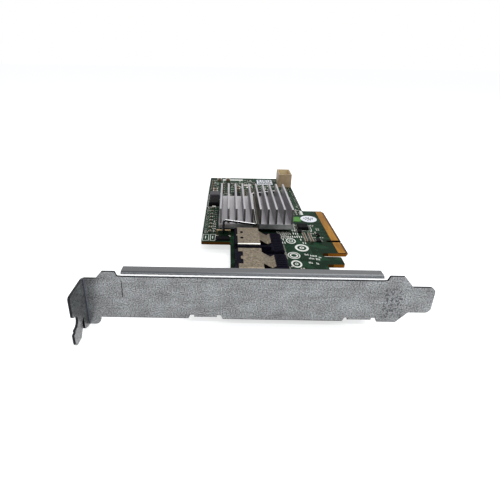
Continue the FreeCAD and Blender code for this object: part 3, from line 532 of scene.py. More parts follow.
# Each finish says what its making gives the eye. Metals keep the default IOR.
FINISHES: dict[str, Finish] = {
    # Zinc plate dulls to a cloudy grey that shows the rolling direction of the sheet.
    "zinc": ZincPlate(
        "zinc_plated_rolled_steel", "#777879", "#888a8b", 6.0, 0.45, (0.27, 0.36), 0.006,
        coats=ZINC_COATS,
    ),
    # Solder mask is a thin glossy lacquer, darker where there is no copper under it.
    "board": MaskedBoard(
        "solder_mask_on_glass_epoxy", "#112216", "#182c1e", 7.0, 0.5, (0.3, 0.45), 0.004,
        0.02, 1.52, coats=BOARD_COATS,
    ),
    # The same mask where it climbs over etched copper.
    "track": Finish(
        "solder_mask_over_copper_track", "#2a4f38", "#234531", 3.0, 0.3, (0.3, 0.45), 0.004,
        0.05, 1.52,
    ),
    # Hard gold over nickel, satin from plating, with faint wipe marks across the edge.
    "gold": Finish(
        "hard_gold_plate", "#c28a28", "#a06c19", 2.0, 0.2, (0.3, 0.45), 0.004,
        drawn=(1.0, 0.2, 1.0),
    ),
    # Clear anodised extrusion keeps fine die lines along its length.
    "sink": Finish(
        "anodised_aluminium_extrusion", "#bcbabd", "#aaa8ac", 2.5, 0.25, (0.38, 0.5), 0.008,
        drawn=(1.0, 0.06, 1.0), coats=SINK_COATS,
    ),
    # Drawn spring wire is bright and smooth, with faint lines along it.
    "wire": Finish(
        "drawn_spring_wire_nickel", "#e2e2e3", "#cfcfd1", 1.5, 0.2, (0.2, 0.32), 0.004,
        coats=WIRE_COATS,
    ),
    # Tin plate is soft and slightly frosted.
    "tin": Finish("reflowed_tin", "#c6c4bd", "#a3a199", 0.8, 0.15, (0.25, 0.42)),
    # The leads of the packages are plated matt, and duller than solder.
    "lead": Finish("matt_tin_plated_lead", "#94918b", "#7d7a75", 0.8, 0.15, (0.32, 0.46)),
    # Tinned brass of the staples, tan where the brass shows.
    "staple": Finish(
        "tinned_brass_wire", "#94836a", "#786649", 1.0, 0.2, (0.3, 0.45), 0.008,
    ),
    # Epoxy moulding compound has a spark-eroded matt surface.
    "epoxy": Finish(
        "moulded_epoxy_package", "#0e0e10", "#161618", 1.5, 0.12, (0.55, 0.7), 0.006,
        0.035, 1.55,
    ),
    # Liquid crystal polymer of the ports, blue-black and satin.
    "port": Finish(
        "moulded_liquid_crystal_polymer", "#07060b", "#191826", 0.7, 0.2, (0.5, 0.65), 0.008,
        0.02,
    ),
    # Nickel plated copper alloy sheet of the port shells, warm grey.
    "shell": ShellSheet(
        "nickel_plated_shell_sheet", "#716657", "#8a806f", 1.4, 0.45, (0.36, 0.5), 0.006,
        coats=SHELL_COATS,
    ),
    # Undyed nylon lets a little light in, and yellows.
    "nylon": Finish(
        "natural_moulded_nylon", "#b19a7c", "#a18b6d", 3.0, 0.25, (0.42, 0.56), 0.008,
        0.3, 1.53, coats=SHROUD_COATS,
    ),
    # Resistor tops are glazed black.
    "glaze": Finish(
        "glazed_resistor_film", "#101012", "#19191b", 0.5, 0.12, (0.25, 0.4), 0.004, 0.3,
    ),
    # Capacitor ceramic is fired tan with a fine tooth.
    "ceramic": Finish(
        "fired_capacitor_ceramic", "#5c4e3c", "#6e5c48", 0.8, 0.12, (0.42, 0.6), 0.006,
        0.12, 1.6,
    ),
    # Sintered ferrite is a dull grey with a mineral grain.
    "ferrite": Finish(
        "sintered_ferrite", "#37363a", "#454348", 0.9, 0.15, (0.5, 0.7), 0.012, 0.2, 1.7,
    ),
    # White epoxy ink, printed on the mask and a little chalky.
    "ink": Finish(
        "white_epoxy_ink", "#f0f2ec", "#dde0da", 0.8, 0.15, (0.55, 0.7), 0.004, 0.3,
    ),
    # Coated label paper, almost matt.
    "paper": Finish(
        "coated_label_paper", "#f1f4f9", "#e4e8ee", 3.0, 0.2, (0.5, 0.62), 0.004, 0.3, 1.45,
    ),
    # Dark toner on the labels.
    "toner": Finish(
        "grey_label_print", "#222831", "#1a1f27", 0.8, 0.2, (0.55, 0.7), 0.002, 0.1, 1.45,
    ),
    # The inspection sticker is bright green paper.
    "sticker": Finish(
        "green_sticker_paper", "#4c8f35", "#417f2b", 2.0, 0.2, (0.45, 0.6), 0.004, 0.3, 1.45,
    ),
    # Zinc plated machine screws, brighter than the sheet.
    "screw": Finish("zinc_plated_screw", "#939497", "#7d7e81", 1.0, 0.15, (0.25, 0.4), 0.006),
    # Grey silicone pad under the heatsink.
    "pad": Finish(
        "silicone_thermal_pad", "#5c5c60", "#515156", 1.0, 0.2, (0.6, 0.75), 0.01, 0.3, 1.43,
    ),
    # The open barrel of a plated hole reads as black; a disc of painted shade stands for it.
    "hole": Finish(
        "shaded_hole_barrel", "#050606", "#090b0b", 1.0, 0.2, (0.6, 0.8), 0.002, 0.1,
    ),
}

# The finish of each carried-over solid, and how far its edges are broken
DRESSED: dict[str, tuple[str, float]] = {
    "bracket": ("zinc", 0.0),
    "bracket_screws": ("screw", 0.08),
    "circuit_board": ("board", 0.0),
    "upper_edge_contacts": ("gold", 0.0),
    "lower_edge_contacts": ("gold", 0.0),
    "controller_chip": ("epoxy", 0.1),
    "thermal_pad": ("pad", 0.0),
    "heatsink": ("sink", 0.12),
    "heatsink_clip": ("wire", 0.0),
    "clip_anchors": ("staple", 0.0),
    "header_housing": ("nylon", 0.14),
    "header_pins": ("tin", 0.1),
    "clock_crystal": ("tin", 0.18),
    "power_inductor": ("ferrite", 0.15),
    "power_choke": ("epoxy", 0.15),
    "power_transistor": ("epoxy", 0.08),
    "tracking_label": ("paper", 0.0),
    "round_label": ("paper", 0.0),
    "green_sticker": ("sticker", 0.0),
    "near_port_shell": ("shell", 0.06),
    "far_port_shell": ("shell", 0.06),
    "near_port_housing": ("port", 0.12),
    "far_port_housing": ("port", 0.12),
    "near_port_contacts": ("tin", 0.0),
    "far_port_contacts": ("tin", 0.0),
}


class Materials:
    """Builds each finish once and hands it out by name."""

    def __init__(self) -> None:
        """Starts with nothing built."""
        self.built: dict[str, bpy.types.Material] = {}

    def get(self, name: str) -> bpy.types.Material:
        """Gives the material of a finish, built at its first use."""
        if name not in self.built:
            self.built[name] = FINISHES[name].make()
        return self.built[name]


class Shaper:
    """Collects the faces of one piece, in millimetres, and turns them into an object."""

    def __init__(self, name: str, finishes: Sequence[str], slot: Slot) -> None:
        """Starts an empty piece.

        Args:
            name: The piece's plain name.
            finishes: Names of its finishes; the methods take one by its place here.
            slot: The record's slot, kept with the piece but not used.
        """
        self.name = name
        self.finishes = finishes
        self.slot = slot
        self.points: list[Point3] = []
        self.faces: list[tuple[int, ...]] = []
        self.paint: list[int] = []

    def add(
        self, points: Sequence[Point3], faces: Sequence[Sequence[int]], finish: int
    ) -> None:
        """Adds points and the faces between them."""
        first = len(self.points)
        self.points.extend(points)
        self.faces.extend(tuple(first + i for i in face) for face in faces)
        self.paint.extend([finish] * len(faces))

    def add_convex(
        self, points: Sequence[Point3], faces: Sequence[Sequence[int]], finish: int
    ) -> None:
        """Adds a convex form, with each face turned to look outwards."""
        spots = [Vector(p) for p in points]
        middle = sum(spots, Vector()) / len(spots)
        turned = []
        for face in faces:
            a, b, c = (spots[i] for i in face[:3])
            outward = (b - a).cross(c - b).dot(a - middle) > 0
            turned.append(tuple(face) if outward else tuple(reversed(face)))
        self.add(points, turned, finish)

    def block(
        self, low: Point3, high: Point3, edge: float, finish: int = 0, draft: float = 0.0
    ) -> None:
        """Adds a box with broken edges.

        Args:
            low: Its lowest corner.
            high: Its highest corner.
            edge: How far each edge is broken.
            finish: The place of its finish.
            draft: How far its sides lean in at the top.
        """
        # Each corner has three points, each on the face across one axis
        points = []
        for corner, out in product(product((0, 1), repeat=3), range(3)):
            spot = []
            for axis, side in enumerate(corner):
                inset = 0.0 if axis == out else edge
                if axis < 2 and corner[2]:
                    inset += draft
                spot.append(high[axis] - inset if side else low[axis] + inset)
            points.append(tuple(spot))

        def index(corner: dict[int, int], out: int) -> int:
            """Number of the point at a corner that lies on the face across one axis."""
            return (corner[0] * 4 + corner[1] * 2 + corner[2]) * 3 + out

        faces = [tuple(3 * corner + out for out in range(3)) for corner in range(8)]
        for out, side in product(range(3), (0, 1)):
            a, b = [axis for axis in range(3) if axis != out]
            ring = [(0, 0), (1, 0), (1, 1), (0, 1)]
            faces.append(tuple(index({out: side, a: i, b: j}, out) for i, j in ring))
        for along, i, j in product(range(3), (0, 1), (0, 1)):
            a, b = [axis for axis in range(3) if axis != along]
            start, end = ({along: side, a: i, b: j} for side in (0, 1))
            faces.append((index(start, a), index(start, b), index(end, b), index(end, a)))
        self.add_convex(points, faces, finish)

    def prism(
        self, outline: Sequence[Point2], axis: Axis, start: float, end: float, finish: int = 0
    ) -> None:
        """Adds an outline thickened along an axis.

        Args:
            outline: Corners, as coordinates along the two other axes in order.
            axis: The axis that it is thickened along.
            start: Where the thickness starts.
            end: Where it ends.
            finish: The place of its finish.
        """
        count = len(outline)
        following = [*outline[1:], outline[0]]
        area = sum(a[0] * b[1] - b[0] * a[1] for a, b in zip(outline, following))
        forward = (area > 0) != (axis is Axis.Y)
        points = []
        for level in (start, end):
            for corner in outline if forward else reversed(outline):
                spot = list(corner)
                spot.insert(axis.value, level)
                points.append(tuple(spot))
        faces: list[tuple[int, ...]] = [
            tuple(reversed(range(count))),
            tuple(range(count, 2 * count)),
        ]
        for i in range(count):
            j = (i + 1) % count
            faces.append((i, j, count + j, count + i))
        self.add(points, faces, finish)

    def strip(
        self, path: Sequence[Point2], width: float, floor: float, top: float, finish: int = 0
    ) -> None:
        """Adds a flat track along a path, mitred at its bends.

        Args:
            path: The middle of the track.
            width: Its width.
            floor: The level it lies on.
            top: The level of its upper face.
            finish: The place of its finish.
        """
        spots = [Vector(p) for p in path]
        left: list[Point2] = []
        right: list[Point2] = []
        for i, spot in enumerate(spots):
            before = (spot - spots[i - 1] if i else spots[1] - spot).normalized()
            after = (spots[i + 1] - spot).normalized() if i < len(spots) - 1 else before
            bisector = (before + after).normalized()
            reach = width / 2 / max(0.5, bisector.dot(before))
            side = Vector((-bisector.y, bisector.x)) * reach
            left.append(tuple(spot + side))
            right.append(tuple(spot - side))
        self.prism([*right, *reversed(left)], Axis.Z, floor, top, finish)

    def turned(
        self, x: float, y: float, profile: Sequence[Point2], steps: int = 16, finish: int = 0
    ) -> None:
        """Adds a turned form about an upright line.

        Args:
            x: Where the line stands.
            y: Where the line stands.
            profile: Radius and level of each ring, with the form on its left.
            steps: Sides to a turn.
            finish: The place of its finish.
        """
        points = []
        for radius, level in profile:
            for step in range(steps):
                angle = math.tau * step / steps
                spot = (x + radius * math.cos(angle), y + radius * math.sin(angle), level)
                points.append(spot)
        faces = []
        for ring, step in product(range(len(profile) - 1), range(steps)):
            below, above = ring * steps, (ring + 1) * steps
            after = (step + 1) % steps
            faces.append((below + step, below + after, above + after, above + step))
        self.add(points, faces, finish)

    def ring(
        self, x: float, y: float, radii: Point2, levels: Point2, steps: int, squash: float = 1.0
    ) -> None:
        """Adds a flat ring of the piece's first finish.

        Args:
            x: Its centre.
            y: Its centre.
            radii: Inner and outer radius.
            levels: Lower and upper level.
            steps: Sides to a turn.
            squash: Its width along X as a share of that along Y.
        """
        inner, outer = radii
        floor, top = levels
        first = len(self.points)
        profile = [(outer, floor), (outer, top), (inner, top), (inner, floor), (outer, floor)]
        self.turned(x, y, profile, steps)
        if squash != 1.0:
            self.points[first:] = [
                (x + (p[0] - x) * squash, p[1], p[2]) for p in self.points[first:]
            ]

    def make(self, materials: Materials) -> bpy.types.Object:
        """Builds the object and sets it on the card."""
        mesh = bpy.data.meshes.new(self.name)
        mesh.from_pydata([(x * MM, y * MM, z * MM) for x, y, z in self.points], [], self.faces)
        for name in self.finishes:
            mesh.materials.append(materials.get(name))
        mesh.polygons.foreach_set("material_index", self.paint)
        mesh.validate()
        piece = bpy.data.objects.new(self.name, mesh)
        bpy.context.scene.collection.objects.link(piece)
        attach(piece, "root")
        LOG.info("%s: %d faces", self.name, len(self.faces))
        return piece


def solids_of(node: bpy.types.Object) -> list[Box]:
    """Finds the box of each separate solid in a carried-over node.

    Args:
        node: The node's object, whose mesh is in metres.

    Returns:
        Lowest and highest corner of each solid in millimetres, in a fixed order.
    """
    mesh = node.data
    keys = [tuple(round(c / MM, 3) for c in v.co) for v in mesh.vertices]
    leader = {key: key for key in keys}

    def find(key: Point3) -> Point3:
        """Gives the point that stands for a point's solid."""
        while leader[key] != key:
            leader[key] = leader[leader[key]]
            key = leader[key]
        return key

    for face in mesh.polygons:
        first, *others = (keys[i] for i in face.vertices)
        for corner in others:
            leader[find(corner)] = find(first)
    groups: dict[Point3, list[Point3]] = {}
    for key in leader:
        groups.setdefault(find(key), []).append(key)
    return sorted(
        (tuple(map(min, zip(*spots))), tuple(map(max, zip(*spots)))) for spots in groups.values()
    )


def soften(node: bpy.types.Object, width: float) -> None:
    """Breaks a solid's sharp edges a little, so that they catch the light.

    Args:
        node: The carried-over node.
        width: Width of the broken edge.
    """
    weld = node.modifiers.new("weld", "WELD")
    weld.merge_threshold = 0.002 * MM
    bevel = node.modifiers.new("edge", "BEVEL")
    bevel.width = width * MM
    bevel.segments = 2
    bevel.limit_method = "ANGLE"
    bevel.angle_limit = math.radians(50)
    bevel.use_clamp_overlap = True
    bevel.harden_normals = True


@dataclass
class Card:
    """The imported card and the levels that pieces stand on.

    Attributes:
        nodes: The carried-over nodes by name.
        materials: The finishes.
        top: Level of the board's component side.
        under: Level of its solder side.
        footings: The boxes of all that stands on the component side.
    """

    nodes: dict[str, bpy.types.Object]
    materials: Materials
    top: float = field(init=False)
    under: float = field(init=False)
    footings: list[Box] = field(init=False, default_factory=list)

    def __post_init__(self) -> None:
        """Reads the board's two faces."""
        low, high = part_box("circuit_board")
        self.top = high.z / MM
        self.under = low.z / MM

    def dress(self) -> None:
        """Gives each carried-over node its finish and its broken edges."""
        for name, (finish, width) in DRESSED.items():
            node = self.nodes[name]
            node.data.materials.clear()
            node.data.materials.append(self.materials.get(finish))
            if width:
                soften(node, width)
            LOG.info("%s: %s", name, finish)

    def solids(self, name: str) -> list[Box]:
        """Gives the box of each solid of a node."""
        return solids_of(self.nodes[name])

    def free(self, x: float, y: float, reach: float) -> bool:
        """Says whether a spot on the component side is clear of every part.

        Args:
            x: The spot.
            y: The spot.
            reach: How much room the spot needs on each side.

        Returns:
            Whether nothing stands within its reach.
        """
        if not self.footings:
            for name in self.nodes:
                if name not in ("bracket", "circuit_board", "heatsink_clip"):
                    self.footings += [box for box in self.solids(name) if box[1][2] > self.top]
        return not any(
            a[0] - reach < x < b[0] + reach and a[1] - reach < y < b[1] + reach
            for a, b in self.footings
        )


@dataclass
class SmallParts:
    """Two-ended parts: a body between tinned ends, each in its fillet of solder.

    Attributes:
        card: The card.
        edge: How far the ends' edges are broken.
        end_share: Share of the length that each tinned end takes.
        lap: Share of an end that stands out past the body.
        skin: Thickness of an end round the body.
        fillet: How far the solder reaches past each end.
        climb: Share of the height that the solder climbs.
        side_gap: How far the solder stays inside the part's sides.
    """

    card: Card
    edge: float = 0.05
    end_share: float = 0.22
    lap: float = 0.8
    skin: float = 0.02
    fillet: float = 0.22
    climb: float = 0.45
    side_gap: float = 0.03

    def part(self, shaper: Shaper, low: Point3, high: Point3) -> None:
        """Adds one part to a piece.

        Args:
            shaper: The piece, whose finishes are the body and the tin.
            low: The part's lowest corner.
            high: Its highest corner.
        """
        long_axis = 0 if high[0] - low[0] >= high[1] - low[1] else 1
        reach = (high[long_axis] - low[long_axis]) * self.end_share
        insets = [self.skin] * 3
        insets[long_axis] = reach * self.lap
        body_low = tuple(a + inset for a, inset in zip(low, insets))
        body_high = tuple(b - inset for b, inset in zip(high, insets))
        shaper.block(body_low, body_high, self.edge / 2)
        for side, inward in ((0, 1), (1, -1)):
            corners = [list(low), list(high)]
            corners[1 - side][long_axis] = corners[side][long_axis] + inward * reach
            shaper.block(tuple(corners[0]), tuple(corners[1]), self.edge, 1)
            self.solder(shaper, (low, high), long_axis, side)

    def solder(self, shaper: Shaper, box: Box, long_axis: int, side: int) -> None:
        """Adds the solder fillet at one end, against the board's nearer face."""
        low, high = box
        on_top = low[2] >= self.card.top - self.edge
        floor = low[2] if on_top else high[2]
        climb = (high[2] - low[2]) * (self.climb if on_top else -self.climb)
        wall = box[side][long_axis]
        out = self.fillet if side else -self.fillet
        outline = [
            (wall, floor),
            (wall + out, floor),
            (wall + out * 0.45, floor + climb * 0.3),
            (wall, floor + climb),
        ]
        axis = Axis(1 - long_axis)
        start, end = low[axis.value] + self.side_gap, high[axis.value] - self.side_gap
        shaper.prism(outline, axis, start, end, 1)

    def build(self, node: str, body: str, slot: Slot) -> None:
        """Builds the detailed parts that stand for a node.

        Args:
            node: The node's name.
            body: The finish of the bodies.
            slot: The record's slot.
        """
        shaper = Shaper("soldered_" + node, [body, "tin"], slot)
        for low, high in self.card.solids(node):
            self.part(shaper, low, high)
        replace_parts(shaper.make(self.card.materials), node)


@dataclass
class LeadedChip:
    """A moulded package with bent leads along its left and right sides.

    Attributes:
        card: The card.
        node: The node that it stands for.
        lead_count: Leads along each side.
        pitch: Their pitch.
        lead_width: Their width.
        span: How far they reach past the body.
        thick: Their thickness.
        standoff: Gap under the body.
        toe: How far the solder reaches past a lead.
        toe_share: Width of the solder as a share of the lead's.
        seam: Height of the step where the body's halves meet.
        edges: How far the edges of the lower and of the upper half are broken.
        draft: How far the upper half leans in.
        dimple: Largest size of the dimple that marks the first lead, and its height.
    """

    card: Card
    node: str
    lead_count: int
    pitch: float
    lead_width: float
    span: float = 1.0
    thick: float = 0.18
    standoff: float = 0.1
    toe: float = 0.18
    toe_share: float = 1.1
    seam: float = 0.06
    edges: Point2 = (0.03, 0.06)
    draft: float = 0.1
    dimple: Point2 = (1.0, 0.012)

    def lead(self, shaper: Shaper, edge: float, turn: int, y: float, height: float) -> None:
        """Adds one gull-wing lead with a soft knee, and its solder toe.

        Args:
            shaper: The piece.
            edge: X of the body's side.
            turn: One on the right side, minus one on the left.
            y: Middle of the lead.
            height: Height of the body above the board.
        """
        top = self.card.top
        shoulder = top + height / 2
        thick = self.thick
        profile = [
            (0.0, shoulder),
            (0.2, shoulder),
            (0.32, shoulder - thick * 0.35),
            (0.42, top + thick * 0.35),
            (0.54, top),
            (1.0, top),
            (1.0, top + thick),
            (0.64, top + thick),
            (0.56, top + thick * 1.5),
            (0.46, shoulder + thick * 0.6),
            (0.3, shoulder + thick),
            (0.0, shoulder + thick),
        ]
        outline = [(edge + turn * self.span * share, level) for share, level in profile]
        half = self.lead_width / 2
        shaper.prism(outline, Axis.Y, y - half, y + half, 1)
        tip = edge + turn * self.span
        toe = [(tip, top), (tip + turn * self.toe, top), (tip, top + thick)]
        reach = half * self.toe_share
        shaper.prism(toe, Axis.Y, y - reach, y + reach, 1)

    def build(self) -> None:
        """Builds the chips that stand for the node."""
        top = self.card.top
        shaper = Shaper("leaded_" + self.node, ["epoxy", "lead", "toner"], Slot.MOULDED)
        for low, high in self.card.solids(self.node):
            left, right = low[0] + self.span, high[0] - self.span
            floor = top + self.standoff
            middle = (floor + high[2]) / 2
            seam_corner = (right, high[1], middle + self.seam)
            shaper.block((left, low[1], floor), seam_corner, self.edges[0])
            top_corner = (right, high[1], high[2])
            shaper.block((left, low[1], middle), top_corner, self.edges[1], 0, self.draft)
            size = min(self.dimple[0], (right - left) / 6)
            level = high[2] + self.dimple[1]
            rings = [(size * 0.4, level), (0.0, level)]
            shaper.turned(left + 2 * size, low[1] + 2 * size, rings, 20, 2)
            for i in range(self.lead_count):
                y = (low[1] + high[1]) / 2 + (i - (self.lead_count - 1) / 2) * self.pitch
                for edge, turn in ((left, -1), (right, 1)):
                    self.lead(shaper, edge, turn, y, high[2] - top)
        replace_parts(shaper.make(self.card.materials), self.node)


@dataclass
class Transistors:
    """Small moulded packages with two leads on one side and one on the other.

    Attributes:
        card: The card.
        lead_width: Width of a lead.
        standoff: Gap under the body.
        edge: How far the body's edges are broken.
        draft: How far the body leans in.
        lead: Side view of a lead, as reach past the body and level above the board.
    """

    card: Card
    lead_width: float = 0.45
    standoff: float = 0.05
    edge: float = 0.08
    draft: float = 0.06
    lead: tuple[Point2, ...] = (
        (0.0, 0.45), (0.3, 0.45), (0.36, 0.0), (0.55, 0.0),
        (0.55, 0.16), (0.48, 0.16), (0.4, 0.6), (0.0, 0.6),
    )

    def build(self) -> None:
        """Builds the packages that stand for the node."""
        shaper = Shaper("leaded_transistors", ["epoxy", "lead"], Slot.MOULDED)
        half = self.lead_width / 2
        for low, high in self.card.solids("transistors"):
            corner = (low[0], low[1], low[2] + self.standoff)
            shaper.block(corner, high, self.edge, 0, self.draft)
            middle = (low[1] + high[1]) / 2
            spread = (high[1] - low[1]) / 3
            for turn, y in ((-1, middle - spread), (-1, middle + spread), (1, middle)):
                wall = high[0] if turn > 0 else low[0]
                side = [(wall + turn * a, self.card.top + b) for a, b in self.lead]
                shaper.prism(side, Axis.Y, y - half, y + half, 1)
        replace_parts(shaper.make(self.card.materials), "transistors")


@dataclass
class Solder:
    """Solder round the legs, pins and tails that meet the board.

    Attributes:
        card: The card.
        cone_height: Height of the solder round a pin.
        land: Radius of the copper land round a pin.
        pin: Radius of the header's pins.
        leg: Radius of the staples' legs.
        leg_inset: From a staple's end to the middle of its leg.
        tail_toe: Length and height of the solder at a port's tail.
        tail_margin: How far that solder reaches past the tail's sides.
        foot: Side view of the solder at a tall part, as reach and level from its foot.
        foot_inset: Share of a tall part's width that is free on each side.
    """

    card: Card
    cone_height: float = 0.45
    land: float = 0.85
    pin: float = 0.36
    leg: float = 0.46
    leg_inset: float = 0.45
    tail_toe: Point2 = (0.25, 0.15)
    tail_margin: float = 0.04
    foot: tuple[Point2, ...] = ((0.0, 0.0), (0.4, 0.0), (0.15, 0.15), (0.0, 0.45))
    foot_inset: float = 0.32

    def cone(
        self, shaper: Shaper, x: float, y: float, level: float, radius: float, turn: int
    ) -> None:
        """Adds the concave cone of solder round one pin, above or below the board."""
        profile = [
            (self.land, 0.02),
            (self.land * 0.8, 0.08),
            (radius * 1.5, self.cone_height * 0.45),
            (radius, self.cone_height),
        ]
        rings = [(r, level + turn * height) for r, height in profile]
        shaper.turned(x, y, rings if turn > 0 else rings[::-1], 20)

    def build(self) -> None:
        """Builds all the joints as one piece."""
        shaper = Shaper("solder_joints", ["tin"], Slot.TIN)
        card = self.card
        top = card.top
        for low, high in card.solids("header_pins"):
            x, y = (low[0] + high[0]) / 2, (low[1] + high[1]) / 2
            self.cone(shaper, x, y, card.under, self.pin, -1)
        for low, high in card.solids("clip_anchors"):
            y = (low[1] + high[1]) / 2
            for x in (low[0] + self.leg_inset, high[0] - self.leg_inset):
                self.cone(shaper, x, y, card.under, self.leg, -1)
                self.cone(shaper, x, y, top, self.leg, 1)
        length, height = self.tail_toe
        margin = self.tail_margin
        for port in ("near", "far"):
            for low, high in card.solids(port + "_port_contacts"):
                # The contact strips in the slot stand higher than the tails
                if low[2] < top + 0.01:
                    toe = [(high[0], top), (high[0] + length, top), (high[0], top + height)]
                    shaper.prism(toe, Axis.Y, low[1] - margin, high[1] + margin)
        for node in ("power_inductor", "power_choke", "clock_crystal"):
            low, high = card.solids(node)[0]
            inset = (high[0] - low[0]) * self.foot_inset
            for wall, turn in ((low[1], -1), (high[1], 1)):
                foot = [(wall + turn * reach, top + level) for reach, level in self.foot]
                shaper.prism(foot, Axis.X, low[0] + inset, high[0] - inset)
        shaper.make(card.materials)


@dataclass
class Etching:
    """The raised tracks and plated holes of the board's outer layers.

    Attributes:
        card: The card.
        width: Width of a signal track.
        lift: How far the mask stands up over a track.
        contact_root_x: Where the card edge's contacts begin.
        bore: Radius of a plated hole, and of the mask's rim round it.
        grid: Pitch of the grid that the holes keep to.
        fields: Lowest corner, highest corner and number of tries of each field of holes.
    """

    card: Card
    width: float = 0.2
    lift: float = 0.02
    contact_root_x: float = 40.5
    bore: Point2 = (0.14, 0.32)
    grid: float = 0.5
    fields: tuple[tuple[Point2, Point2, int], ...] = (
        ((-22.0, 66.0), (-16.0, 158.0), 70),
        ((-14.0, 112.0), (8.0, 158.0), 110),
        ((24.0, 66.0), (32.0, 140.0), 90),
        ((16.5, 16.0), (32.0, 62.0), 80),
        ((23.5, 60.0), (39.0, 96.0), 70),
        ((-8.5, 57.5), (20.0, 65.0), 40),
    )

    def paths(self) -> list[list[Point2]]:
        """Gives the tracks of the component side."""
        tracks: list[list[Point2]] = []
        # Pairs of tracks run from the card edge to the controller, under the heatsink
        for lane, wire in product(range(8), (0, 1)):
            root_y = 61.3 + lane * 4.0 + wire
            run_y = 70.5 + lane * 3.2 + wire * 0.45
            bend = 38.6 - lane * 0.35
            end = (bend - abs(run_y - root_y), run_y)
            tracks.append([(self.contact_root_x, root_y), (bend, root_y), end, (20.0, run_y)])
        # Each port's lanes go right, then back to the controller
        turn = 1.2
        for (port, first_y), lane in product(enumerate((20.0, 41.0)), range(8)):
            x = 17.4 + port * 6.6 + (7 - lane) * 0.62
            y = first_y + lane * 1.6
            end_y = 68.0 + lane * 0.6 + port * 5.0
            start = [(15.6, y), (x - turn, y), (x, y + turn)]
            tracks.append([*start, (x, end_y - turn), (x - turn, end_y), (x - 3.0, end_y)])
        # The firmware chip's bus goes to the rear strip and the left strip
        for wire in range(12):
            x, y = 4.0 - wire % 6 * 0.55, 117.8 + wire
            tracks.append([(8.4, y), (x + 1.0, y), (x, y - 1.0), (x, 111.0)])
        for wire in range(9):
            x, end_y = wire * 0.5 - 22.2, 101.7 - wire * 0.6
            start = [(x, 66.0 + wire), (x, end_y - 2.2)]
            tracks.append([*start, (x + 2.2, end_y), (-12.5, end_y)])
        for wire in range(10):
            x, y = 4.0 - wire * 0.5, 156.2 - wire * 0.55
            tracks.append([(wire - 21.5, y), (x - 2.0, y), (x, y - 2.0), (x, 138.0)])
        for wire in range(6):
            x, end_y = 28.6 + wire * 0.5, 138.0 - wire
            tracks.append([(x, 99.0 + wire), (x, end_y - 2.0), (x - 2.0, end_y), (22.5, end_y)])
        return tracks

    def under_paths(self) -> list[list[Point2]]:
        """Gives the tracks of the solder side."""
        tracks: list[list[Point2]] = []
        for lane in range(16):
            root_y, run_y, bend = 61.3 + lane * 2.0, 74.0 + lane * 1.5, 37.0
            start = [(self.contact_root_x, root_y), (bend, root_y)]
            drift = abs(run_y - root_y)
            tracks.append([*start, (bend - drift, run_y), (4.0 + lane * 0.5, run_y)])
        for wire in range(14):
            x, end_y = wire * 0.8 - 19.0, 136.0 - wire * 0.8
            tracks.append([(x, 62.0), (x, end_y - 8.0), (x + 8.0, end_y), (26.0, end_y)])
        for wire in range(10):
            x, y = 4.0 + wire * 0.7, 60.0 + wire
            tracks.append([(x, 14.0), (x, y), (x + 4.0, y + 4.0), (x + 4.0, 70.0)])
        return tracks

    def via_spots(self) -> list[Point2]:
        """Gives the plated holes, scattered on a routing grid clear of the larger parts."""
        draw = random.Random(PRINT_SEED)
        spots: list[Point2] = []
        for low, high, count in self.fields:
            for _ in range(count):
                x, y = (
                    round(draw.uniform(a, b) / self.grid) * self.grid for a, b in zip(low, high)
                )
                if (x, y) not in spots and self.card.free(x, y, 0.5):
                    spots.append((x, y))
        return spots

    def build(self) -> None:
        """Builds the tracks and the plated holes of both sides."""
        top, under = self.card.top, self.card.under
        tracks = Shaper("copper_tracks", ["track"], Slot.BOARD)
        for path in self.paths():
            tracks.strip(path, self.width, top, top + self.lift)
        for path in self.under_paths():
            tracks.strip(path, self.width * 1.3, under - self.lift, under)
        tracks.make(self.card.materials)
        holes = Shaper("plated_holes", ["track", "hole"], Slot.BOARD)
        rim, dark = self.lift * 1.5, self.lift / 2
        inner = self.bore[0]
        # Each hole gets a rim of mask and a black disc of painted shade for its barrel, on both
        # sides
        for x, y in self.via_spots():
            holes.ring(x, y, self.bore, (top, top + rim), 12)
            holes.turned(x, y, [(inner, top + dark), (0.0, top + dark)], 12, 1)
            holes.ring(x, y, self.bore, (under - rim, under), 12)
            holes.turned(x, y, [(0.0, under - dark), (inner, under - dark)], 12, 1)
        holes.make(self.card.materials)


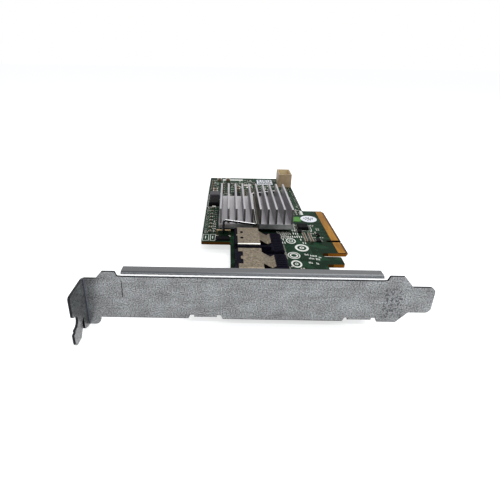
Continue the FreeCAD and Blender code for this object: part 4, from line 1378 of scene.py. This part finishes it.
@dataclass
class BareLands:
    """Tinned lands where no part was fitted, in pairs, and round test points between them.

    Attributes:
        card: The card.
        land: Width and length of a land.
        gap: Gap between the two of a pair.
        thick: Thickness of the tin on them.
        pitch: Pitch of the grid that they keep to.
        room: How much room each spot of the grid needs.
        round_share: Share of the spots that are test points.
        across_share: Share up to which the rest are pairs along X; the others lie along Y.
        test_point: Radius of a test point at its foot and at its top.
        sunk: How far a land reaches into the board.
        edge: How far a land's edges are broken.
        fields: Lowest corner, highest corner and share of the grid that is taken.
    """

    card: Card
    land: Point2 = (0.66, 0.84)
    gap: float = 0.42
    thick: float = 0.04
    pitch: Point2 = (1.9, 1.5)
    room: float = 0.88
    round_share: float = 0.15
    across_share: float = 0.6
    test_point: Point2 = (0.36, 0.33)
    sunk: float = 0.01
    edge: float = 0.015
    fields: tuple[tuple[Point2, Point2, float], ...] = (
        ((-22.4, 66.0), (-9.8, 102.0), 0.95),
        ((-22.4, 124.5), (-9.6, 157.0), 0.38),
        ((-8.6, 110.5), (24.0, 157.0), 0.42),
        ((24.4, 92.0), (32.4, 146.0), 0.5),
        ((24.2, 60.0), (38.0, 79.0), 0.36),
        ((17.0, 16.0), (31.0, 34.0), 0.2),
    )

    def build(self) -> None:
        """Builds the lands as one piece."""
        shaper = Shaper("bare_lands", ["tin"], Slot.TIN)
        draw = random.Random(PRINT_SEED + 3)
        for low, high, share in self.fields:
            columns, rows = (int((high[i] - low[i]) / self.pitch[i]) for i in (0, 1))
            for column, row in product(range(columns), range(rows)):
                chosen = draw.random() < share
                kind = draw.random()
                x = low[0] + (column + 0.5) * self.pitch[0]
                y = low[1] + (row + 0.5) * self.pitch[1]
                if chosen and self.card.free(x, y, self.room):
                    self.spot(shaper, x, y, kind)
        shaper.make(self.card.materials)

    def spot(self, shaper: Shaper, x: float, y: float, kind: float) -> None:
        """Adds a test point or a pair of lands.

        Args:
            shaper: The piece.
            x: Its middle.
            y: Its middle.
            kind: A share drawn from zero to one, which says what it is.
        """
        top = self.card.top
        level = top + self.thick
        if kind < self.round_share:
            foot, crown = self.test_point
            shaper.turned(x, y, [(foot, top), (crown, level), (0.0, level)], 14)
            return
        half_x, half_y = self.land[0] / 2, self.land[1] / 2
        along_x = kind < self.across_share
        for side in (-1, 1):
            offset = side * (self.gap + self.land[0]) / 2
            if along_x:
                middle, half = (x + offset, y), (half_x, half_y)
            else:
                middle, half = (x, y + offset), (half_y, half_x)
            corner = (middle[0] - half[0], middle[1] - half[1], top - self.sunk)
            opposite = (middle[0] + half[0], middle[1] + half[1], level)
            shaper.block(corner, opposite, self.edge)


@dataclass
class BoardPrint:
    """The white outlines, rings and ticks printed on the component side.

    Attributes:
        card: The card.
        line: Width of a printed line.
        ink: Thickness of the ink.
        margin: How far a part's outline stands off it.
        dot: X and Y of the dot off a part's corner, and its radius.
        marked_share: Share of the small parts that have a mark.
        mark_gap: Least and most from a small part to its mark.
        mark_length: Shortest and longest mark.
        mark_height: Height of a mark.
        tick: Width of a tick, and how far the next one stands to the right and lower.
        tick_height: Least and most height of a tick.
        comb: Width of a tick in a comb, and its pitch.
        comb_share: Share of a comb's ticks that are printed.
        comb_height: Least and most share of a comb's height.
        rings: Centre, radii, sides and squash of the rings that stand where marks are.
        frames: Lowest and highest corner of the frames on the front left corner.
        bars: First and last X, first and last Y of the solid bars.
        tick_groups: X, Y and count of each short row of ticks.
        combs: Reach along X, Y and height of each row of ticks beside the heatsink.
    """

    card: Card
    line: float = 0.22
    ink: float = 0.035
    margin: float = 0.7
    dot: Point3 = (1.3, 0.4, 0.3)
    marked_share: float = 0.75
    mark_gap: Point2 = (0.3, 0.5)
    mark_length: Point2 = (0.5, 1.1)
    mark_height: float = 0.45
    tick: Point3 = (0.34, 0.62, 0.12)
    tick_height: Point2 = (0.9, 1.7)
    comb: Point2 = (0.46, 1.1)
    comb_share: float = 0.85
    comb_height: Point2 = (0.7, 1.1)
    rings: tuple[tuple[Point2, Point2, int, float], ...] = (
        ((20.6, 58.1), (2.3, 3.0), 40, 0.8),
        ((20.6, 58.1), (0.9, 1.4), 32, 0.8),
        ((24.7, 50.8), (2.4, 3.6), 40, 0.9),
        ((24.7, 50.8), (0.6, 1.2), 24, 0.9),
        ((19.8, 35.5), (2.2, 3.2), 40, 0.75),
        ((19.8, 35.5), (0.5, 1.0), 24, 0.75),
        ((19.8, 43.2), (1.4, 2.1), 32, 0.9),
        ((19.8, 43.2), (2.7, 3.2), 32, 0.9),
    )
    frames: tuple[tuple[Point2, Point2], ...] = (
        ((-22.8, 57.2), (-19.9, 64.0)),
        ((-19.0, 57.2), (-16.6, 64.0)),
    )
    bars: tuple[tuple[float, float, float, float], ...] = (
        (-21.6, -21.2, 59.2, 62.2),
        (-18.1, -17.7, 59.2, 62.2),
        (-14.3, -12.0, 155.4, 158.6),
        (-11.4, 0.3, 155.6, 158.5),
        (31.5, 32.8, 92.0, 98.0),
    )
    tick_groups: tuple[tuple[float, float, int], ...] = (
        (24.9, 43.6, 3), (27.2, 42.6, 5), (30.8, 41.2, 2), (26.2, 40.2, 4),
        (29.2, 39.3, 3), (25.4, 36.2, 3), (28.6, 35.4, 2),
    )
    combs: tuple[tuple[Point2, float, float], ...] = (
        ((15.0, 17.6), 55.0, 1.9), ((14.6, 17.8), 58.4, 1.9), ((13.2, 26.8), 61.8, 2.2),
        ((22.9, 27.4), 65.6, 2.2), ((22.9, 25.6), 69.4, 2.4), ((24.4, 26.8), 58.6, 1.9),
        ((25.0, 27.4), 55.2, 1.7),
    )

    def frame(self, shaper: Shaper, low: Point2, high: Point2) -> None:
        """Adds a printed rectangle."""
        levels = (self.card.top, self.card.top + self.ink)
        half = self.line / 2
        for y in (low[1], high[1]):
            shaper.strip([(low[0] - half, y), (high[0] + half, y)], self.line, *levels)
        for x in (low[0], high[0]):
            shaper.strip([(x, low[1] + half), (x, high[1] - half)], self.line, *levels)

    def bar(self, shaper: Shaper, x0: float, x1: float, y0: float, y1: float) -> None:
        """Adds a printed solid bar."""
        middle = (x0 + x1) / 2
        levels = (self.card.top, self.card.top + self.ink)
        shaper.strip([(middle, y0), (middle, y1)], x1 - x0, *levels)

    def build(self) -> None:
        """Builds all the print as one piece."""
        card = self.card
        shaper = Shaper("white_board_print", ["ink"], Slot.PAPER)
        levels = (card.top, card.top + self.ink)
        margin = self.margin
        left, lower, radius = self.dot
        for node in ("power_inductor", "power_choke", "memory_chips", "clock_crystal"):
            for low, high in card.solids(node):
                corner = (low[0] - margin, low[1] - margin)
                self.frame(shaper, corner, (high[0] + margin, high[1] + margin))
                shaper.ring(low[0] - left, low[1] - lower, (0.0, radius), levels, 12)
        for (x, y), radii, steps, squash in self.rings:
            shaper.ring(x, y, radii, levels, steps, squash)
        for low, high in self.frames:
            self.frame(shaper, low, high)
        for bar in self.bars:
            self.bar(shaper, *bar)
        self.ticks(shaper)
        shaper.make(card.materials)

    def ticks(self, shaper: Shaper) -> None:
        """Adds the ticks beside the small parts, then the short rows and the combs."""
        draw = random.Random(PRINT_SEED + 1)
        for node in ("chip_resistors", "chip_capacitors"):
            for low, high in self.card.solids(node):
                if draw.random() < self.marked_share:
                    y = high[1] + draw.uniform(*self.mark_gap)
                    x = (low[0] + high[0]) / 2
                    half = draw.uniform(*self.mark_length) / 2
                    self.bar(shaper, x - half, x + half, y, y + self.mark_height)
        width, right, lower = self.tick
        for first_x, first_y, count in self.tick_groups:
            for step in range(count):
                height = draw.uniform(*self.tick_height)
                x, y = first_x + step * right, first_y - step * lower
                self.bar(shaper, x, x + width, y, y + height)
        width, pitch = self.comb
        for (x, end), y, height in self.combs:
            while x < end:
                if draw.random() < self.comb_share:
                    top = y + height * draw.uniform(*self.comb_height)
                    self.bar(shaper, x, x + width, y, top)
                x += pitch


@dataclass
class LabelPrint:
    """Plain bars and blots on the white labels, with no letters in them.

    Attributes:
        card: The card.
        ink: Thickness of the print.
        round_rows: Level above the middle of the round label, half width and height of
            each row on it.
        round_sizes: The list of widths for those rows.
    """

    card: Card
    ink: float = 0.015
    round_rows: tuple[Point3, ...] = (
        (2.1, 1.5, 0.7), (0.5, 2.9, 1.0), (-1.1, 2.2, 0.8), (-2.7, 1.3, 0.6),
    )
    round_sizes: tuple[float, ...] = (0.9, 0.5, 1.2, 0.4)

    def blots(
        self, shaper: Shaper, reach: Point2, y: float, height: float, level: float,
        sizes: Sequence[float],
    ) -> None:
        """Adds a row of plain blots, whose widths and gaps follow a short list.

        Args:
            shaper: The piece.
            reach: First and last X of the row.
            y: Where the row starts.
            height: Its height along Y.
            level: Level of the label.
            sizes: The list.
        """
        x, right = reach
        step = 0
        while x + sizes[step % len(sizes)] < right:
            width = sizes[step % len(sizes)]
            middle = x + width / 2
            shaper.strip([(middle, y), (middle, y + height)], width, level, level + self.ink)
            x += width + sizes[(step + 2) % len(sizes)] * 0.55
            step += 1

    def build(self) -> None:
        """Builds the print of both white labels."""
        shaper = Shaper("label_print", ["toner"], Slot.PAPER)
        low, high = self.card.solids("tracking_label")[0]
        for left, right, y, height, sizes in (
            (0.8, 0.6, high[1] - 3.7, 2.5, (1.5, 0.9, 1.9, 0.8, 1.2)),
            (1.2, 1.2, high[1] - 6.6, 1.7, (0.5, 0.9, 0.4, 0.7)),
            (0.8, 0.6, low[1] + 1.0, 2.6, (0.25, 0.4, 0.2, 0.55, 0.3)),
        ):
            self.blots(shaper, (low[0] + left, high[0] - right), y, height, high[2], sizes)
        low, high = self.card.solids("round_label")[0]
        x, y = (low[0] + high[0]) / 2, (low[1] + high[1]) / 2
        for row, half, height in self.round_rows:
            reach = (x - half, x + half)
            self.blots(shaper, reach, y + row, height, high[2], self.round_sizes)
        shaper.make(self.card.materials)


@dataclass
class PortDetails:
    """The ribs on the ports' rear blocks and the black web along each shell's front wall, a
    stand-in for the shade beside it.

    Attributes:
        card: The card.
        rear_height: Height of the rear blocks.
        side_ribs: Ribs on each side of a block's middle rib.
        rib_pitch: Pitch of the moulded ribs.
        rib_width: Width of a rib.
        rib_reach: How far before the block's rear face a rib starts and ends.
        rib_levels: Its lowest and highest level above the block.
        rib_edge: How far its edges are broken.
        shade_web_thick: Thickness of the web.
        shade_web_drop: How far the web stays below the shell's roof.
        shade_web_ends: How far it stays inside the shell's front and rear end.
        shade_web_edge: How far its edges are broken.
        shade_web_gap: Gap between the web and the shell.
    """

    card: Card
    rear_height: float = 5.3
    side_ribs: int = 5
    rib_pitch: float = 1.6
    rib_width: float = 0.7
    rib_reach: Point2 = (4.6, 0.9)
    rib_levels: Point2 = (-0.1, 0.18)
    rib_edge: float = 0.06
    shade_web_thick: float = 0.9
    shade_web_drop: float = 0.85
    shade_web_ends: Point2 = (0.4, 0.3)
    shade_web_edge: float = 0.08
    shade_web_gap: float = 0.02

    def build(self) -> None:
        """Builds the ribs and the shade webs of both ports as one piece."""
        shaper = Shaper("port_ribs_and_shade_webs", ["port"], Slot.PLASTIC)
        top = self.card.top
        half = self.rib_width / 2
        floor, crown = (top + self.rear_height + level for level in self.rib_levels)
        for port in ("near", "far"):
            low, high = self.card.solids(port + "_port_housing")[0]
            start, end = (high[0] - reach for reach in self.rib_reach)
            for i in range(-self.side_ribs, self.side_ribs + 1):
                y = (low[1] + high[1]) / 2 + i * self.rib_pitch
                shaper.block((start, y - half, floor), (end, y + half, crown), self.rib_edge)
            # A black web along the shell's front wall stands in for the shade in the gap beside
            # it
            low, high = self.card.solids(port + "_port_shell")[0]
            wall = low[1] - self.shade_web_gap
            corner = (low[0] + self.shade_web_ends[0], wall - self.shade_web_thick, top)
            opposite = (high[0] - self.shade_web_ends[1], wall, high[2] - self.shade_web_drop)
            shaper.block(corner, opposite, self.shade_web_edge)
        shaper.make(self.card.materials)


@dataclass
class Studio:
    """The white studio: camera, floor, world and lamps.

    Attributes:
        eye: Where the camera stands.
        yaw: Turn of the camera from +Y towards +X, in degrees.
        pitch: How far it looks down, in degrees.
        roll: Its roll, in degrees.
        focal_px: Focal length in pixels of the frame.
        centre_px: Where its axis meets the frame.
        frame_px: Width and height of the frame.
        floor_gap: How far the floor lies below the card.
        floor_half: Half width of the floor, in metres.
        floor_glow: What the floor gives the camera besides what falls on it.
        ambient: Strength of the world's light on the card.
    """

    eye: Point3 = (-10.97, -107.94, 75.12)
    yaw: float = -0.306
    pitch: float = 23.743
    roll: float = 0.823
    focal_px: float = 376.55
    centre_px: Point2 = (224.94, 223.27)
    frame_px: int = 500
    floor_gap: float = 0.2
    floor_half: float = 4.0
    floor_glow: float = 0.66
    ambient: float = 0.45

    def camera(self) -> None:
        """Sets up the camera of the photograph."""
        yaw, pitch, roll = (math.radians(a) for a in (self.yaw, self.pitch, self.roll))
        ahead = math.cos(pitch)
        forward = Vector((math.sin(yaw) * ahead, math.cos(yaw) * ahead, -math.sin(pitch)))
        level_right = Vector((math.cos(yaw), -math.sin(yaw), 0))
        level_up = level_right.cross(forward)
        right = math.cos(roll) * level_right + math.sin(roll) * level_up
        up = -math.sin(roll) * level_right + math.cos(roll) * level_up
        data = bpy.data.cameras.new("camera")
        data.sensor_width = 36.0
        data.lens = self.focal_px / self.frame_px * data.sensor_width
        data.shift_x = (self.frame_px / 2 - self.centre_px[0]) / self.frame_px
        data.shift_y = (self.centre_px[1] - self.frame_px / 2) / self.frame_px
        data.clip_start = 0.005
        data.clip_end = 20.0
        camera = bpy.data.objects.new("camera", data)
        bpy.context.scene.collection.objects.link(camera)
        turn = Matrix((right, up, -forward)).transposed().to_4x4()
        camera.matrix_world = Matrix.Translation(Vector(self.eye) * MM) @ turn
        bpy.context.scene.camera = camera

    def seen(self, tree: Tree) -> Node:
        """Gives one to the camera and in gloss, and zero to the light that falls on the card."""
        path = add_node(tree, "LightPath").outputs
        share: Source = path["Is Camera Ray"]
        for ray in ("Is Glossy Ray", "Is Transmission Ray"):
            share = add_node(tree, "Math", {0: share, 1: path[ray]}, operation="MAXIMUM")
        return share

    def world(self) -> None:
        """Lights the card evenly, and shows white to the camera and in gloss."""
        world = bpy.data.worlds.new("studio")
        bpy.context.scene.world = world
        world.use_nodes = True
        tree = world.node_tree
        tree.nodes.clear()
        plain = {"Color": linear("#f4f6fa"), "Strength": self.ambient}
        white = {"Color": linear("#ffffff"), "Strength": 1.0}
        lit, shown = (add_node(tree, "Background", values) for values in (plain, white))
        mix = add_node(tree, "MixShader", {0: self.seen(tree), 1: lit, 2: shown})
        add_node(tree, "OutputWorld", {"Surface": mix})

    def floor(self) -> None:
        """Lays a white floor that keeps the card's shadow."""
        low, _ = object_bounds()
        level = low.z - self.floor_gap * MM
        half = self.floor_half
        corners = [(x * half, y * half, level) for x, y in ((-1, -1), (1, -1), (1, 1), (-1, 1))]
        mesh = bpy.data.meshes.new("studio_floor")
        mesh.from_pydata(corners, [], [(0, 1, 2, 3)])
        floor = bpy.data.objects.new("studio_floor", mesh)
        bpy.context.scene.collection.objects.link(floor)
        # A paper sweep scatters what falls on it, and glows so that the ground stays white
        material = bpy.data.materials.new("white_paper_sweep")
        material.use_nodes = True
        tree = material.node_tree
        tree.nodes.clear()
        values = {0: self.seen(tree), 1: self.floor_glow}
        glow = add_node(tree, "Math", values, operation="MULTIPLY")
        paper = add_node(tree, "BsdfDiffuse", {"Color": linear("#e6e7e8")})
        light = add_node(tree, "Emission", {"Color": linear("#ffffff"), "Strength": glow})
        both = add_node(tree, "AddShader", {0: paper, 1: light})
        add_node(tree, "OutputMaterial", {"Surface": both})
        mesh.materials.append(material)
        floor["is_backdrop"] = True

    def lamp(self, name: str, place: Point3, aim: Point3, size: Point2, watts: float) -> None:
        """Hangs a rectangular soft lamp.

        Args:
            name: The lamp's name.
            place: Where it hangs.
            aim: The point it looks at.
            size: Its width and height.
            watts: Its power.
        """
        data = bpy.data.lights.new(name, "AREA")
        data.shape = "RECTANGLE"
        data.size = size[0] * MM
        data.size_y = size[1] * MM
        data.energy = watts
        lamp = bpy.data.objects.new(name, data)
        bpy.context.scene.collection.objects.link(lamp)
        lamp.location = Vector(place) * MM
        lamp.rotation_euler = (Vector(aim) - Vector(place)).to_track_quat("-Z", "Y").to_euler()

    def build(self) -> None:
        """Sets up the whole studio."""
        bpy.context.scene.view_settings.view_transform = "Standard"
        self.camera()
        self.world()
        self.floor()
        self.lamp("strip_softbox", (0, -300, 400), (0, 0, 0), (900, 36), 1.1)
        self.lamp("overhead_softbox", (200, 160, 600), (0, 80, 0), (500, 400), 1.8)


def main() -> None:
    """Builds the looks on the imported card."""
    logging.basicConfig(level=logging.INFO, format="%(message)s")
    for stray in list(bpy.data.objects):
        bpy.data.objects.remove(stray)
    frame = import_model()
    Studio().build()
    card = Card(frame["nodes"], Materials())
    card.dress()
    small = SmallParts(card)
    small.build("chip_resistors", "glaze", Slot.RESISTOR)
    small.build("chip_capacitors", "ceramic", Slot.CAPACITOR)
    small.build("bulk_capacitors", "ceramic", Slot.BULK)
    small.build("underside_capacitors", "ceramic", Slot.CAPACITOR)
    LeadedChip(card, "firmware_chip", 24, 0.5, 0.225).build()
    LeadedChip(card, "memory_chips", 4, 1.27, 0.42).build()
    LeadedChip(card, "logic_chips", 4, 0.65, 0.3).build()
    details = (Transistors, Solder, Etching, BareLands, BoardPrint, LabelPrint, PortDetails)
    for sub_assembly in details:
        sub_assembly(card).build()


if __name__ == "__main__":
    main()
